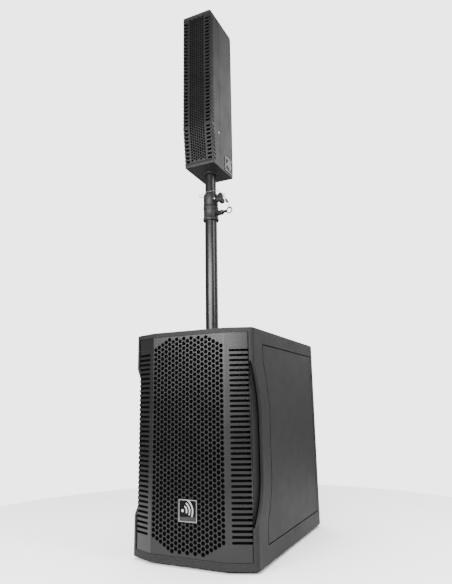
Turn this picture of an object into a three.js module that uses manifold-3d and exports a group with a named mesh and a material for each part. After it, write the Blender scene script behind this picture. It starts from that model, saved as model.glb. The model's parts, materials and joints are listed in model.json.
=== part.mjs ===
// A powered column loudspeaker: a floor subwoofer, a telescopic pole standing in its top,
// and a slim column of small drivers turning on the pole's upper tube.
// Millimetres, +Z up, the front faces -Y. The origin is under the middle of the subwoofer's feet.

import * as THREE from 'three';
import { mergeVertices } from 'three/addons/utils/BufferGeometryUtils.js';
import Module from 'manifold-3d';

const wasm = await Module();
wasm.setup();

// ---------- driving dimensions ----------

const GAP = 0.3; // between touching pieces
const OVERSHOOT = 5; // how far a cutter passes the face it cuts

const FOOT = { height: 6, radius: 17, x: 132, y: 214 };

const SUB = { width: 366, depth: 576, height: 594, flat: 219, setback: 28, edge: 4, corner: 8 };
SUB.front = -SUB.depth / 2;
SUB.rear = SUB.depth / 2;
SUB.bottom = FOOT.height;
SUB.top = SUB.bottom + SUB.height;

const WALL = { side: 15, cheek: 12, inner: 6.5, top: 13, bottom: 20, rear: 15, rim: 15 };
const CAVITY = { bottom: SUB.bottom + WALL.bottom, top: SUB.top - WALL.top };

const GRILLE = { halfWidth: 169.3, recess: 1, sheet: 1.6, lip: 10, seat: 36 };
const SUB_SLOT = { count: 37, pitch: 13, height: 6.4, first: 71, inside: 122, wrap: 4.7 };

const SCOOP = { top: 511, bottom: 104, mouth: 26, depth: 74, innerFace: 170, throatEnd: 105 };
const FINGER_SLOT = { width: 4.5, extra: 20 };
const GROOVE = { width: 3, depth: 4, front: 93, belly: 131, rear: 547, top: 560, bottom: 51 };

const BAFFLE = { front: 62, thickness: 18, woofer: 141, port: 41.5 };
const WOOFER = { z: 378, flange: 156 };
const PORT = { x: 88, z: 104, outer: 41, inner: 38, flare: 48, length: 190 };

const AMP = { x: 125, bottom: 140, top: 510, sheet: 3, openX: 115, openBottom: 150, openTop: 500 };
AMP.seat = SUB.rear - WALL.rim;
AMP.back = AMP.seat + GAP;
AMP.face = AMP.back + AMP.sheet;
const AMP_BOX = { x: 113, bottom: 152, top: 498, depth: 84, sheet: 1.5 };
const AMP_BOARD = { left: -100, right: 95, bottom: 170, top: 330, rise: 58, sheet: 2 };
const HEATSINK = { x: 110, bottom: 330, top: 495, plate: 2, fins: 17, pitch: 13, fin: 2.2, height: 8 };

const POLE = { y: SUB.front + 150.8, lower: 19, bore: 17.8, upper: 17.5, upperWall: 2, cup: 85 };
POLE.base = SUB.top - POLE.cup;
POLE.lowerTop = 1010;
POLE.upperBase = 600;
const CUP = { flange: 44, rise: 5, chamfer: 3, floor: 4 };

const COLLAR = { turn: -12, bottom: 965, lip: 25, lipHeight: 8, radius: 23, groove: 1011, top: 1053 };
const KNOB = { z: 1032, from: 32, thickness: 12, radius: 19.5, lobe: 7, stud: 4, boss: 9, bossEnd: 30 };
const BOLT = { angle: -27, z: 1032, boss: 6.5, bossEnd: 26, head: 3.4 };
const PIN = { z: 985, shaft: 3.4, tip: 18, barrel: 48, neck: 60, ringRadius: 9.5, wire: 1.8 };
PIN.ring = PIN.neck + 1 + GAP + PIN.wire + PIN.ringRadius;
const LANYARD = { cord: 0.9, sleeve: 4, sleeveLength: 12, sleeveLean: 0.59 };

const COLUMN = { width: 102, ahead: 92, behind: 62, bottom: 1123, height: 533, plate: 12, wall: 9 };
COLUMN.top = COLUMN.bottom + COLUMN.height;
COLUMN.front = POLE.y - COLUMN.ahead;
COLUMN.rear = POLE.y + COLUMN.behind;
COLUMN.kink = COLUMN.bottom + 128.5;
COLUMN.recess = 15;
const END_PLATE = { front: 6, rear: 3.6, edge: 2.5 };

const COVER = { inset: 0.4, sheet: 1.4, depth: 62, screwBack: 10, screwRise: 116 };
const COVER_SLOT = { upper: 30, lower: 9, pitch: 12.6, height: 6.6, inside: 31, wrap: 18, kinkGap: 19.6 };
const DRIVER = { radius: 36, face: 12, board: 9, upper: 5, upperFirst: COLUMN.kink + 45, upperPitch: 75 };
DRIVER.lowerZ = COLUMN.bottom + 72;
const SOCKET = { outer: 21, inner: 18, depth: 75, flange: 27, proud: 3, ceiling: 5 };
const CONNECTOR = { x: 26, halfHeight: 40, z: COLUMN.bottom + 100, sheet: 3 };
const SUB_BADGE = { left: -24, right: 29, bottom: 110.5, top: 164.5, thickness: 2.7 };
const COLUMN_BADGE = { front: 2, rear: 54, bottom: 1131, top: 1177, thickness: 2 };

// ---------- materials ----------

const finish = (color, roughness, metalness = 0) =>
  new THREE.MeshStandardMaterial({ color, roughness, metalness });

const PAINT = finish(0x1b1b1c, 0.75);
const BOARD = finish(0x3a2f24, 0.9);
const STEEL_BLACK = finish(0x18181a, 0.45, 0.6);
const TUBE_BLACK = finish(0x141416, 0.35, 0.5);
const PLASTIC = finish(0x111112, 0.5);
const RUBBER = finish(0x0c0c0c, 0.95);
const FOAM = finish(0x090909, 1);
const PAPER = finish(0x101010, 0.85);
const FERRITE = finish(0x2a2a2c, 0.7, 0.3);
const BRIGHT = finish(0xb8bbc0, 0.3, 0.9);
const ALUMINIUM = finish(0x2b2d30, 0.5, 0.7);
const CIRCUIT = finish(0x0f3b24, 0.6);
const COPPER = finish(0x9a5b33, 0.4, 0.8);
const LAMP = finish(0x2f7cff, 0.3);

// ---------- solids ----------

// Shared corners merged, so that the faces close on each other.
function weld(geometry) {
  const bare = geometry.index ? geometry.clone() : geometry;
  bare.deleteAttribute('normal');
  bare.deleteAttribute('uv');
  return mergeVertices(bare, 1e-3);
}

function toSolid(geometry) {
  const welded = weld(geometry);
  const corners = welded.index.array;
  const faces = [];
  for (let i = 0; i < corners.length; i += 3) {
    const [a, b, c] = corners.slice(i, i + 3);
    if (a !== b && b !== c && c !== a) faces.push(a, b, c);
  }
  const vertProperties = new Float32Array(welded.attributes.position.array);
  const triVerts = new Uint32Array(faces);
  return new wasm.Manifold(new wasm.Mesh({ numProp: 3, vertProperties, triVerts }));
}

function toGeometry(solid) {
  const { vertProperties, triVerts } = solid.getMesh();
  const geometry = new THREE.BufferGeometry();
  geometry.setAttribute('position', new THREE.BufferAttribute(vertProperties, 3));
  geometry.setIndex(new THREE.BufferAttribute(triVerts, 1));
  geometry.computeVertexNormals();
  return geometry;
}

function cut(body, cutters) {
  return toGeometry(cutters.reduce((rest, tool) => rest.subtract(tool), toSolid(body)));
}

function join(pieces) {
  return toGeometry(pieces.map(toSolid).reduce((whole, next) => whole.add(next)));
}

function block(x0, x1, y0, y1, z0, z1) {
  const geometry = new THREE.BoxGeometry(x1 - x0, y1 - y0, z1 - z0);
  return geometry.translate((x0 + x1) / 2, (y0 + y1) / 2, (z0 + z1) / 2);
}

const blockCutter = (...sides) => toSolid(block(...sides));

// A closed profile of [radius, height] points turned about the y axis, faces out.
function turned(profile, segments = 16) {
  const points = profile.map(([radius, height]) => new THREE.Vector2(radius, height));
  const onAxis = profile[0][0] === 0 && profile.at(-1)[0] === 0;
  if (!onAxis) points.push(points[0].clone());
  let doubledArea = 0;
  points.forEach((point, i) => {
    const next = points[(i + 1) % points.length];
    doubledArea += point.x * next.y - next.x * point.y;
  });
  if (doubledArea < 0) points.reverse();
  return new THREE.LatheGeometry(points, segments);
}

const turnedUp = (profile, segments) => turned(profile, segments).rotateX(Math.PI / 2);
const turnedAcross = (profile, segments) => turned(profile, segments).rotateZ(-Math.PI / 2);

const tubeProfile = (outer, inner, from, to) => [[inner, from], [outer, from], [outer, to], [inner, to]];
const rodProfile = (radius, from, to) => [[0, from], [radius, from], [radius, to], [0, to]];

// A shape drawn in (x, y), extruded up from z0 to z1.
function plan(shape, z0, z1, curveSegments = 6) {
  const geometry = new THREE.ExtrudeGeometry(shape, { depth: z1 - z0, bevelEnabled: false, curveSegments });
  return geometry.translate(0, 0, z0);
}

// A shape drawn in (y, z), extruded along x from x0 to x1.
function sideView(shape, x0, x1, curveSegments = 6) {
  const geometry = new THREE.ExtrudeGeometry(shape, { depth: x1 - x0, bevelEnabled: false, curveSegments });
  const axes = new THREE.Matrix4().makeBasis(
    new THREE.Vector3(0, 1, 0),
    new THREE.Vector3(0, 0, 1),
    new THREE.Vector3(1, 0, 0),
  );
  return geometry.applyMatrix4(axes).translate(x0, 0, 0);
}

const outline = (points) => new THREE.Shape(points.map(([x, y]) => new THREE.Vector2(x, y)));

// A polygon whose corners are rounded by the radius given with each point.
function roundedOutline(corners) {
  const shape = new THREE.Shape();
  corners.forEach(([x, y, radius = 0], i) => {
    const here = new THREE.Vector2(x, y);
    const before = new THREE.Vector2(...corners.at(i - 1).slice(0, 2));
    const after = new THREE.Vector2(...corners[(i + 1) % corners.length].slice(0, 2));
    const start = here.clone().add(before.sub(here).setLength(radius));
    const end = here.clone().add(after.sub(here).setLength(radius));
    if (i === 0) shape.moveTo(start.x, start.y);
    else shape.lineTo(start.x, start.y);
    if (radius > 0) shape.quadraticCurveTo(here.x, here.y, end.x, end.y);
  });
  shape.closePath();
  return shape;
}

// ---------- scene ----------

const speaker = new THREE.Group();
const subwoofer = new THREE.Group();
const pole = new THREE.Group();
const collarFrame = new THREE.Group();
const column = new THREE.Group();
speaker.add(subwoofer, pole, column);
pole.position.set(0, POLE.y, 0);
collarFrame.rotation.z = THREE.MathUtils.degToRad(COLLAR.turn);
pole.add(collarFrame);
column.position.set(0, POLE.y, 0);

function addPiece(group, name, geometry, material, position = [0, 0, 0]) {
  const mesh = new THREE.Mesh(weld(geometry), material);
  mesh.name = name;
  mesh.position.set(...position);
  group.add(mesh);
}

// ---------- subwoofer cabinet ----------

// How far the front stands behind its middle facet at a distance x from the centre line.
function facetSetback(x) {
  const halfFlat = SUB.flat / 2;
  const run = SUB.width / 2 - halfFlat;
  return (Math.max(0, Math.abs(x) - halfFlat) / run) * SUB.setback;
}

function cabinetBlock() {
  const half = SUB.width / 2;
  const shape = roundedOutline([
    [-SUB.flat / 2, SUB.front],
    [SUB.flat / 2, SUB.front],
    [half, SUB.front + SUB.setback, SUB.corner],
    [half, SUB.rear, SUB.corner],
    [-half, SUB.rear, SUB.corner],
    [-half, SUB.front + SUB.setback, SUB.corner],
  ]);
  const geometry = new THREE.ExtrudeGeometry(shape, {
    depth: SUB.height - 2 * SUB.edge,
    bevelThickness: SUB.edge,
    bevelSize: SUB.edge,
    bevelOffset: -SUB.edge,
    bevelSegments: 3,
    curveSegments: 4,
  });
  return geometry.translate(0, 0, SUB.bottom + SUB.edge);
}

// The grip hollow's outline in (y, z), moved back by the extra depth given.
function scoopShape(extra = 0) {
  const at = (y) => SUB.front + extra + y;
  const shape = new THREE.Shape();
  const { top, bottom, mouth, depth } = SCOOP;
  shape.moveTo(SUB.front - OVERSHOOT, bottom);
  shape.lineTo(at(mouth), bottom);
  shape.bezierCurveTo(at(60), 146, at(depth), 176, at(depth), 235);
  shape.lineTo(at(depth), 340);
  shape.bezierCurveTo(at(depth), 420, at(50), 478, at(mouth), top);
  shape.lineTo(SUB.front - OVERSHOOT, top);
  return shape;
}

// The routed line on a side: its front follows the grip hollow.
function grooveShape(inset) {
  const at = (y) => SUB.front + y;
  const front = at(GROOVE.front + inset);
  const belly = at(GROOVE.belly + inset);
  const rear = at(GROOVE.rear - inset);
  const shape = new THREE.Shape();
  shape.moveTo(front, GROOVE.bottom + inset);
  shape.lineTo(rear, GROOVE.bottom + inset);
  shape.lineTo(rear, GROOVE.top - inset);
  shape.lineTo(front, GROOVE.top - inset);
  shape.lineTo(front, 512);
  shape.bezierCurveTo(at(108 + inset), 480, belly, 430, belly, 370);
  shape.lineTo(belly, 225);
  shape.bezierCurveTo(belly, 175, at(112 + inset), 140, front, 102);
  shape.lineTo(front, GROOVE.bottom + inset);
  return shape;
}

function sideCutters(side) {
  const half = SUB.width / 2;
  const span = (a, b) => (side > 0 ? [a, b] : [-b, -a]);
  const fingers = span(SCOOP.innerFace, SCOOP.innerFace + FINGER_SLOT.width);
  const line = grooveShape(0);
  line.holes.push(grooveShape(GROOVE.width));
  return [
    toSolid(sideView(scoopShape(), ...span(SCOOP.innerFace, half + OVERSHOOT), 10)),
    toSolid(sideView(scoopShape(FINGER_SLOT.extra), ...fingers)),
    toSolid(sideView(line, ...span(half - GROOVE.depth, half + OVERSHOOT), 8)),
  ];
}

function cabinetGeometry() {
  const { front, rear } = SUB;
  const mouth = SUB.width / 2 - WALL.cheek;
  const throat = SCOOP.innerFace - WALL.inner;
  const room = SUB.width / 2 - WALL.side;
  const throatEnd = front + SCOOP.throatEnd;
  const cupHole = turnedUp(rodProfile(SOCKET.outer + 1.5, CAVITY.top - OVERSHOOT, SUB.top + OVERSHOOT), 20);
  return cut(cabinetBlock(), [
    blockCutter(-mouth, mouth, front - OVERSHOOT, front + GRILLE.seat, CAVITY.bottom, CAVITY.top),
    blockCutter(-throat, throat, front, throatEnd, CAVITY.bottom, CAVITY.top),
    blockCutter(-room, room, throatEnd - 1, rear - WALL.rim - WALL.rear, CAVITY.bottom, CAVITY.top),
    blockCutter(-room, room, rear - WALL.rim, rear + OVERSHOOT, SUB.bottom + WALL.rim, SUB.top - WALL.rim),
    blockCutter(-AMP.openX, AMP.openX, rear - 60, rear, AMP.openBottom, AMP.openTop),
    toSolid(cupHole.translate(0, POLE.y, 0)),
    ...sideCutters(1),
    ...sideCutters(-1),
  ]);
}

function baffleGeometry() {
  const front = SUB.front + BAFFLE.front;
  const half = SCOOP.innerFace - WALL.inner - GAP;
  const hole = (radius) => rodProfile(radius, front - OVERSHOOT, front + BAFFLE.thickness + OVERSHOOT);
  return cut(
    block(-half, half, front, front + BAFFLE.thickness, CAVITY.bottom + GAP, CAVITY.top - GAP),
    [
      toSolid(turned(hole(BAFFLE.woofer), 24).translate(0, 0, WOOFER.z)),
      toSolid(turned(hole(BAFFLE.port)).translate(PORT.x, 0, PORT.z)),
      toSolid(turned(hole(BAFFLE.port)).translate(-PORT.x, 0, PORT.z)),
    ],
  );
}

// The bent sheet in plan, as wide as halfWidth and set back from the front by the depth given.
function sheetPlan(halfWidth, depth, sheet, lip) {
  const halfFlat = SUB.flat / 2;
  const corner = SUB.front + facetSetback(halfWidth) + depth;
  const innerCorner = SUB.front + facetSetback(halfWidth - sheet) + depth + sheet;
  const front = SUB.front + depth;
  return outline([
    [-halfWidth, corner],
    [-halfFlat, front],
    [halfFlat, front],
    [halfWidth, corner],
    [halfWidth, corner + lip],
    [halfWidth - sheet, corner + lip],
    [halfWidth - sheet, innerCorner],
    [halfFlat, front + sheet],
    [-halfFlat, front + sheet],
    [sheet - halfWidth, innerCorner],
    [sheet - halfWidth, corner + lip],
    [-halfWidth, corner + lip],
  ]);
}

function subGrilleGeometry() {
  const { halfWidth, recess, sheet, lip } = GRILLE;
  const panel = plan(sheetPlan(halfWidth, recess, sheet, lip), CAVITY.bottom + 0.7, CAVITY.top - 0.7);
  const wrapEnd = SUB.front + facetSetback(halfWidth) + recess + SUB_SLOT.wrap;
  const outside = halfWidth + OVERSHOOT;
  const slots = [];
  for (let i = 0; i < SUB_SLOT.count; i += 1) {
    const z = SUB_SLOT.first + i * SUB_SLOT.pitch;
    const rows = [z - SUB_SLOT.height / 2, z + SUB_SLOT.height / 2];
    for (const [x0, x1] of [[SUB_SLOT.inside, outside], [-outside, -SUB_SLOT.inside]]) {
      slots.push(blockCutter(x0, x1, SUB.front - OVERSHOOT, wrapEnd, ...rows));
    }
  }
  return cut(panel, slots);
}

function grilleFoamGeometry() {
  const thickness = 4;
  const behind = GRILLE.recess + GRILLE.sheet + GAP;
  const sheet = sheetPlan(SCOOP.innerFace - WALL.inner - 2, behind, thickness, thickness + 0.5);
  return plan(sheet, CAVITY.bottom + 2, CAVITY.top - 2);
}

function portGeometry() {
  const front = SUB.front + BAFFLE.front;
  return turned([
    [PORT.inner + 5, front - 4],
    [PORT.flare, front - 3],
    [PORT.flare, front - GAP],
    [PORT.outer, front - GAP],
    [PORT.outer, front + PORT.length],
    [PORT.inner, front + PORT.length],
    [PORT.inner, front + 4],
  ]);
}

function cabinetPieces() {
  addPiece(subwoofer, 'sub_cabinet', cabinetGeometry(), PAINT);
  addPiece(subwoofer, 'sub_baffle', baffleGeometry(), BOARD);
  addPiece(subwoofer, 'sub_grille', subGrilleGeometry(), STEEL_BLACK);
  addPiece(subwoofer, 'grille_foam', grilleFoamGeometry(), FOAM);
  addPiece(subwoofer, 'port_left', portGeometry(), PLASTIC, [-PORT.x, 0, PORT.z]);
  addPiece(subwoofer, 'port_right', portGeometry(), PLASTIC, [PORT.x, 0, PORT.z]);
  const back = SUB.front + GRILLE.recess - GAP;
  const { left, right, bottom, top, thickness } = SUB_BADGE;
  addPiece(subwoofer, 'sub_badge', block(left, right, back - thickness, back, bottom, top), BRIGHT);
}

function feetPieces() {
  const profile = [[0, 0], [FOOT.radius - 2, 0], [FOOT.radius, FOOT.height - GAP], [0, FOOT.height - GAP]];
  const corners = { front_left: [-1, -1], front_right: [1, -1], rear_left: [-1, 1], rear_right: [1, 1] };
  for (const [place, [sideX, sideY]] of Object.entries(corners)) {
    const at = [sideX * FOOT.x, sideY * FOOT.y, 0];
    addPiece(subwoofer, `foot_${place}`, turnedUp(profile, 14), RUBBER, at);
  }
}

// ---------- woofer ----------

// The woofer's profiles run back from the baffle's front face, which is height 0.
function wooferPieces() {
  const place = [0, SUB.front + BAFFLE.front, WOOFER.z];
  const add = (name, profile, material, segments) =>
    addPiece(subwoofer, name, turned(profile, segments), material, place);
  const basket = [
    [WOOFER.flange, -5.3],
    [WOOFER.flange, -GAP],
    [139, -GAP],
    [82, 87],
    [82, 92],
    [42, 92],
    [42, 88],
    [78, 88],
    [132, 4],
    [132, -5.3],
  ];
  add('woofer_basket', basket, STEEL_BLACK, 20);
  add('woofer_magnet', tubeProfile(78, 40.5, 92.3, 121), FERRITE, 18);
  const yoke = [[0, 92], [36.4, 92], [36.4, 121.3], [70, 121.3], [70, 129], [0, 129]];
  add('woofer_yoke', yoke, BRIGHT, 18);
  const surround = [
    [118.5, 0.5],
    [121.5, -5],
    [128.5, -5],
    [131.5, 0.5],
    [130.2, 1],
    [127.8, -3.6],
    [122.2, -3.6],
    [119.8, 1],
  ];
  add('woofer_surround', surround, RUBBER, 20);
  add('woofer_spider', tubeProfile(84, 40.2, 75, 76.2), PAPER, 18);
  add('woofer_cone', [[112, 0], [118, 0], [118, 2.5], [39.8, 58.5], [39.2, 57]], PAPER, 20);
  const cap = [[0, 37.1], [26, 40.1], [45, 51], [44.4, 52.1], [25.4, 41.4], [0, 38.4]];
  add('woofer_dust_cap', cap, PAPER, 20);
  add('woofer_voice_coil', tubeProfile(38.4, 37.2, 58, 112), COPPER, 18);
}

// ---------- amplifier ----------

const CONTROLS = {
  inputX: 85,
  linkX: 45,
  subKnobX: 5,
  columnKnobX: -35,
  lampX: -75,
  rowZ: 290,
  outputX: 75,
  outputZ: 215,
  inletX: -65,
  rockerX: -5,
  powerZ: 195,
  socket: 12,
  knobShaft: 3,
};

// A round panel connector's profile, run out from the panel's face: shell, flange and face.
const SOCKET_FACE = [[0, -20], [12, -20], [12, GAP], [15, GAP], [15, 2.4], [11, 2.4], [10, 1.2], [0, 1.2]];

function ampPanelGeometry() {
  const c = CONTROLS;
  const depth = [AMP.back - OVERSHOOT, AMP.face + OVERSHOOT];
  const across = (radius, x, z) => toSolid(turned(rodProfile(radius, ...depth), 14).translate(x, 0, z));
  const window = (x, z, halfX, halfZ) =>
    blockCutter(x - halfX, x + halfX, ...depth, z - halfZ, z + halfZ);
  return cut(block(-AMP.x, AMP.x, AMP.back, AMP.face, AMP.bottom, AMP.top), [
    across(c.socket + GAP, c.inputX, c.rowZ),
    across(c.socket + GAP, c.linkX, c.rowZ),
    across(c.socket + GAP, c.outputX, c.outputZ),
    across(c.knobShaft + GAP, c.subKnobX, c.rowZ),
    across(c.knobShaft + GAP, c.columnKnobX, c.rowZ),
    across(2.8, c.lampX, c.rowZ),
    window(c.inletX, c.powerZ, 24.3, 14.3),
    window(c.rockerX, c.powerZ, 10.3, 14.3),
  ]);
}

function heatsinkGeometry() {
  const { x: half, bottom, top, plate, fins, pitch, fin, height } = HEATSINK;
  const face = AMP.face + GAP;
  const pieces = [block(-half, half, face, face + plate, bottom, top)];
  for (let i = 0; i < fins; i += 1) {
    const x = (i - (fins - 1) / 2) * pitch;
    pieces.push(block(x - fin / 2, x + fin / 2, face + 1, face + plate + height, bottom, top));
  }
  return join(pieces);
}

function ampBoxGeometry() {
  const { x, bottom, top, depth, sheet } = AMP_BOX;
  const front = AMP.seat - depth;
  return cut(block(-x, x, front, AMP.seat, bottom, top), [
    blockCutter(sheet - x, x - sheet, front + sheet, AMP.seat + 1, bottom + sheet, top - sheet),
  ]);
}

function ampBoardGeometry() {
  const { left, right, bottom, top, rise, sheet } = AMP_BOARD;
  const back = AMP.seat - rise;
  return block(left, right, back - sheet, back, bottom, top);
}

function knobGeometry() {
  const skirt = [[0, -12], [3, -12], [3, 0.8], [9, 0.8], [8.5, 3], [7, 9], [0, 9]];
  const pointer = blockCutter(-0.9, 0.9, 7.6, 10, 1, 10);
  return cut(turned(skirt, 14), [pointer]);
}

function inletGeometry() {
  const hollow = blockCutter(-12.5, 12.5, -13, 3, -8.5, 8.5);
  const flange = block(-27, 27, GAP, 2.2, -17, 17);
  const body = block(-24, 24, -18, 1, -14, 14);
  return cut(join([flange, body]), [hollow]);
}

function rockerGeometry() {
  const shape = outline([
    [-1.5, -9.5],
    [4.9, -9.5],
    [1.4, 0],
    [2.1, 9.5],
    [-1.5, 9.5],
    [-5.5, 4],
    [-5.5, -4],
  ]);
  return sideView(shape, -5.5, 5.5);
}

function rockerFrameGeometry() {
  const flange = block(-12.5, 12.5, GAP, 2, -17, 17);
  const body = block(-10, 10, -14, 1, -14, 14);
  return cut(join([flange, body]), [blockCutter(-6, 6, -10, 3, -11, 11)]);
}

function amplifierPieces() {
  const c = CONTROLS;
  const face = AMP.face;
  addPiece(subwoofer, 'amp_panel', ampPanelGeometry(), ALUMINIUM);
  addPiece(subwoofer, 'amp_heatsink', heatsinkGeometry(), ALUMINIUM);
  addPiece(subwoofer, 'amp_back_box', ampBoxGeometry(), BRIGHT);
  addPiece(subwoofer, 'amp_board', ampBoardGeometry(), CIRCUIT);
  const toroid = [[20, -76], [44, -76], [50, -70], [50, -44], [44, -38], [20, -38]];
  addPiece(subwoofer, 'mains_transformer', turned(toroid, 16), COPPER, [-45, AMP.seat, 415]);

  const hollow = [[10, 2.4], [10, -12], [0, -12]];
  const male = [[0, -20], [12, -20], [12, GAP], [15, GAP], [15, 2.4], ...hollow];
  addPiece(subwoofer, 'input_socket', turned(SOCKET_FACE, 14), PLASTIC, [c.inputX, face, c.rowZ]);
  addPiece(subwoofer, 'link_socket', turned(male, 14), PLASTIC, [c.linkX, face, c.rowZ]);
  const outputAt = [c.outputX, face, c.outputZ];
  addPiece(subwoofer, 'column_output_socket', turned(SOCKET_FACE, 14), PLASTIC, outputAt);
  addPiece(subwoofer, 'mains_inlet', inletGeometry(), PLASTIC, [c.inletX, face, c.powerZ]);
  addPiece(subwoofer, 'power_switch_frame', rockerFrameGeometry(), PLASTIC, [c.rockerX, face, c.powerZ]);
  addPiece(subwoofer, 'power_rocker', rockerGeometry(), PLASTIC, [c.rockerX, face, c.powerZ]);
  addPiece(subwoofer, 'sub_level_knob', knobGeometry(), PLASTIC, [c.subKnobX, face, c.rowZ]);
  addPiece(subwoofer, 'column_level_knob', knobGeometry(), PLASTIC, [c.columnKnobX, face, c.rowZ]);
  const lamp = [[0, -8], [2.5, -8], [2.5, 1], [1.6, 2.4], [0, 2.8]];
  addPiece(subwoofer, 'power_lamp', turned(lamp, 10), LAMP, [c.lampX, face, c.rowZ]);
}

// ---------- pole ----------

function cupGeometry() {
  const floor = POLE.base - CUP.floor;
  const flangeTop = SUB.top + CUP.rise;
  return turnedUp([
    [0, floor],
    [SOCKET.outer, floor],
    [SOCKET.outer, SUB.top + GAP],
    [CUP.flange, SUB.top + GAP],
    [CUP.flange, flangeTop - CUP.chamfer + 1],
    [CUP.flange - CUP.chamfer, flangeTop],
    [POLE.lower + GAP, flangeTop],
    [POLE.lower + GAP, POLE.base - GAP],
    [0, POLE.base - GAP],
  ], 20);
}

function tubePieces() {
  addPiece(pole, 'sub_pole_cup', cupGeometry(), PLASTIC);
  const plug = [
    [0, POLE.base],
    [POLE.lower - 0.4, POLE.base],
    [POLE.lower - 0.4, POLE.base + 3],
    [POLE.bore - GAP, POLE.base + 3],
    [POLE.bore - GAP, POLE.base + 18],
    [0, POLE.base + 18],
  ];
  addPiece(pole, 'pole_foot_plug', turnedUp(plug, 16), PLASTIC);
  const lower = turnedUp(tubeProfile(POLE.lower, POLE.bore, POLE.base + 3 + GAP, POLE.lowerTop), 24);
  const pinHole = turnedAcross(rodProfile(PIN.shaft + GAP, 10, 40), 12);
  pinHole.rotateZ(THREE.MathUtils.degToRad(COLLAR.turn)).translate(0, 0, PIN.z);
  addPiece(pole, 'pole_lower_tube', cut(lower, [toSolid(pinHole)]), TUBE_BLACK);
  const upperTop = COLUMN.bottom + SOCKET.depth - 4;
  const upper = tubeProfile(POLE.upper, POLE.upper - POLE.upperWall, POLE.upperBase, upperTop);
  addPiece(pole, 'pole_upper_tube', turnedUp(upper, 24), TUBE_BLACK);
  const inside = POLE.upper - POLE.upperWall - GAP;
  const cap = [
    [0, upperTop - 15],
    [inside, upperTop - 15],
    [inside, upperTop + GAP],
    [POLE.upper, upperTop + GAP],
    [POLE.upper - 1, upperTop + 3],
    [0, upperTop + 3],
  ];
  addPiece(pole, 'pole_top_cap', turnedUp(cap, 16), PLASTIC);
}

// The collar on the lower tube's end: a flared lip, a band held round the tube, and above a
// groove the clamp with one boss for the knob's stud and one for the bolt.
function collarGeometry() {
  const { bottom, lip, lipHeight, radius, groove, top } = COLLAR;
  const body = turnedUp([
    [0, bottom],
    [lip - 1.5, bottom],
    [lip, bottom + 3],
    [lip, bottom + lipHeight],
    [radius, bottom + lipHeight],
    [radius, groove - 9],
    [radius + 1, groove - 8],
    [radius + 1, groove],
    [radius - 2, groove],
    [radius - 2, groove + 3.5],
    [radius, groove + 3.5],
    [radius, top - 2],
    [radius - 2, top],
    [0, top],
  ], 24);
  const knobBoss = turnedAcross(rodProfile(KNOB.boss, 10, KNOB.bossEnd), 14).translate(0, 0, KNOB.z);
  const boltBoss = turnedAcross(rodProfile(BOLT.boss, 10, BOLT.bossEnd), 12);
  boltBoss.rotateZ(THREE.MathUtils.degToRad(BOLT.angle)).translate(0, 0, BOLT.z);
  const studHole = turnedAcross(rodProfile(KNOB.stud + GAP, 10, 40), 12).translate(0, 0, KNOB.z);
  const pinHole = turnedAcross(rodProfile(PIN.shaft + GAP, 10, 40), 12).translate(0, 0, PIN.z);
  const throughTube = turnedUp(rodProfile(POLE.upper + GAP, bottom - 1, top + 1), 24);
  const tubeSeat = turnedUp(rodProfile(POLE.lower + GAP, bottom - 1, POLE.lowerTop + GAP), 24);
  const cutters = [throughTube, tubeSeat, studHole, pinHole].map(toSolid);
  return cut(join([body, knobBoss, boltBoss]), cutters);
}

function boltGeometry() {
  const seat = BOLT.bossEnd + GAP;
  const end = seat + 2.6;
  const profile = [[0, seat], [BOLT.head, seat], [BOLT.head, end - 1], [BOLT.head - 1, end], [0, end]];
  return turnedAcross(profile, 12).rotateZ(THREE.MathUtils.degToRad(BOLT.angle));
}

// The clamp's hand knob: a hub with three lobes, and the stud that presses on the inner tube.
function clampKnobGeometry() {
  const { from, thickness, radius, lobe, stud } = KNOB;
  const hub = turnedAcross(rodProfile(11, from, from + thickness), 14);
  const shank = turnedAcross(rodProfile(stud, POLE.upper + 1, from + 2), 12);
  const lobes = [0, 1, 2].map((i) => {
    const angle = (i * 2 * Math.PI) / 3;
    const arm = turnedAcross(rodProfile(lobe, from + 1.5, from + thickness - 1.5), 12);
    return arm.translate(0, (radius - lobe) * Math.sin(angle), (radius - lobe) * Math.cos(angle));
  });
  return join([hub, shank, ...lobes]);
}

function pinGeometry() {
  return turnedAcross([
    [0, PIN.tip],
    [PIN.shaft - 0.6, PIN.tip],
    [PIN.shaft, PIN.tip + 1],
    [PIN.shaft, COLLAR.lip + 1],
    [7.5, COLLAR.lip + 1],
    [8, COLLAR.lip + 4],
    [8, PIN.barrel - 2],
    [6.5, PIN.barrel],
    [4.2, PIN.barrel + 1],
    [4.2, PIN.neck],
    [0, PIN.neck + 1],
  ], 14);
}

function ringGeometry() {
  const ring = new THREE.TorusGeometry(PIN.ringRadius, PIN.wire, 6, 20).rotateX(Math.PI / 2);
  return ring.translate(PIN.ring, 0, PIN.z);
}

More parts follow.
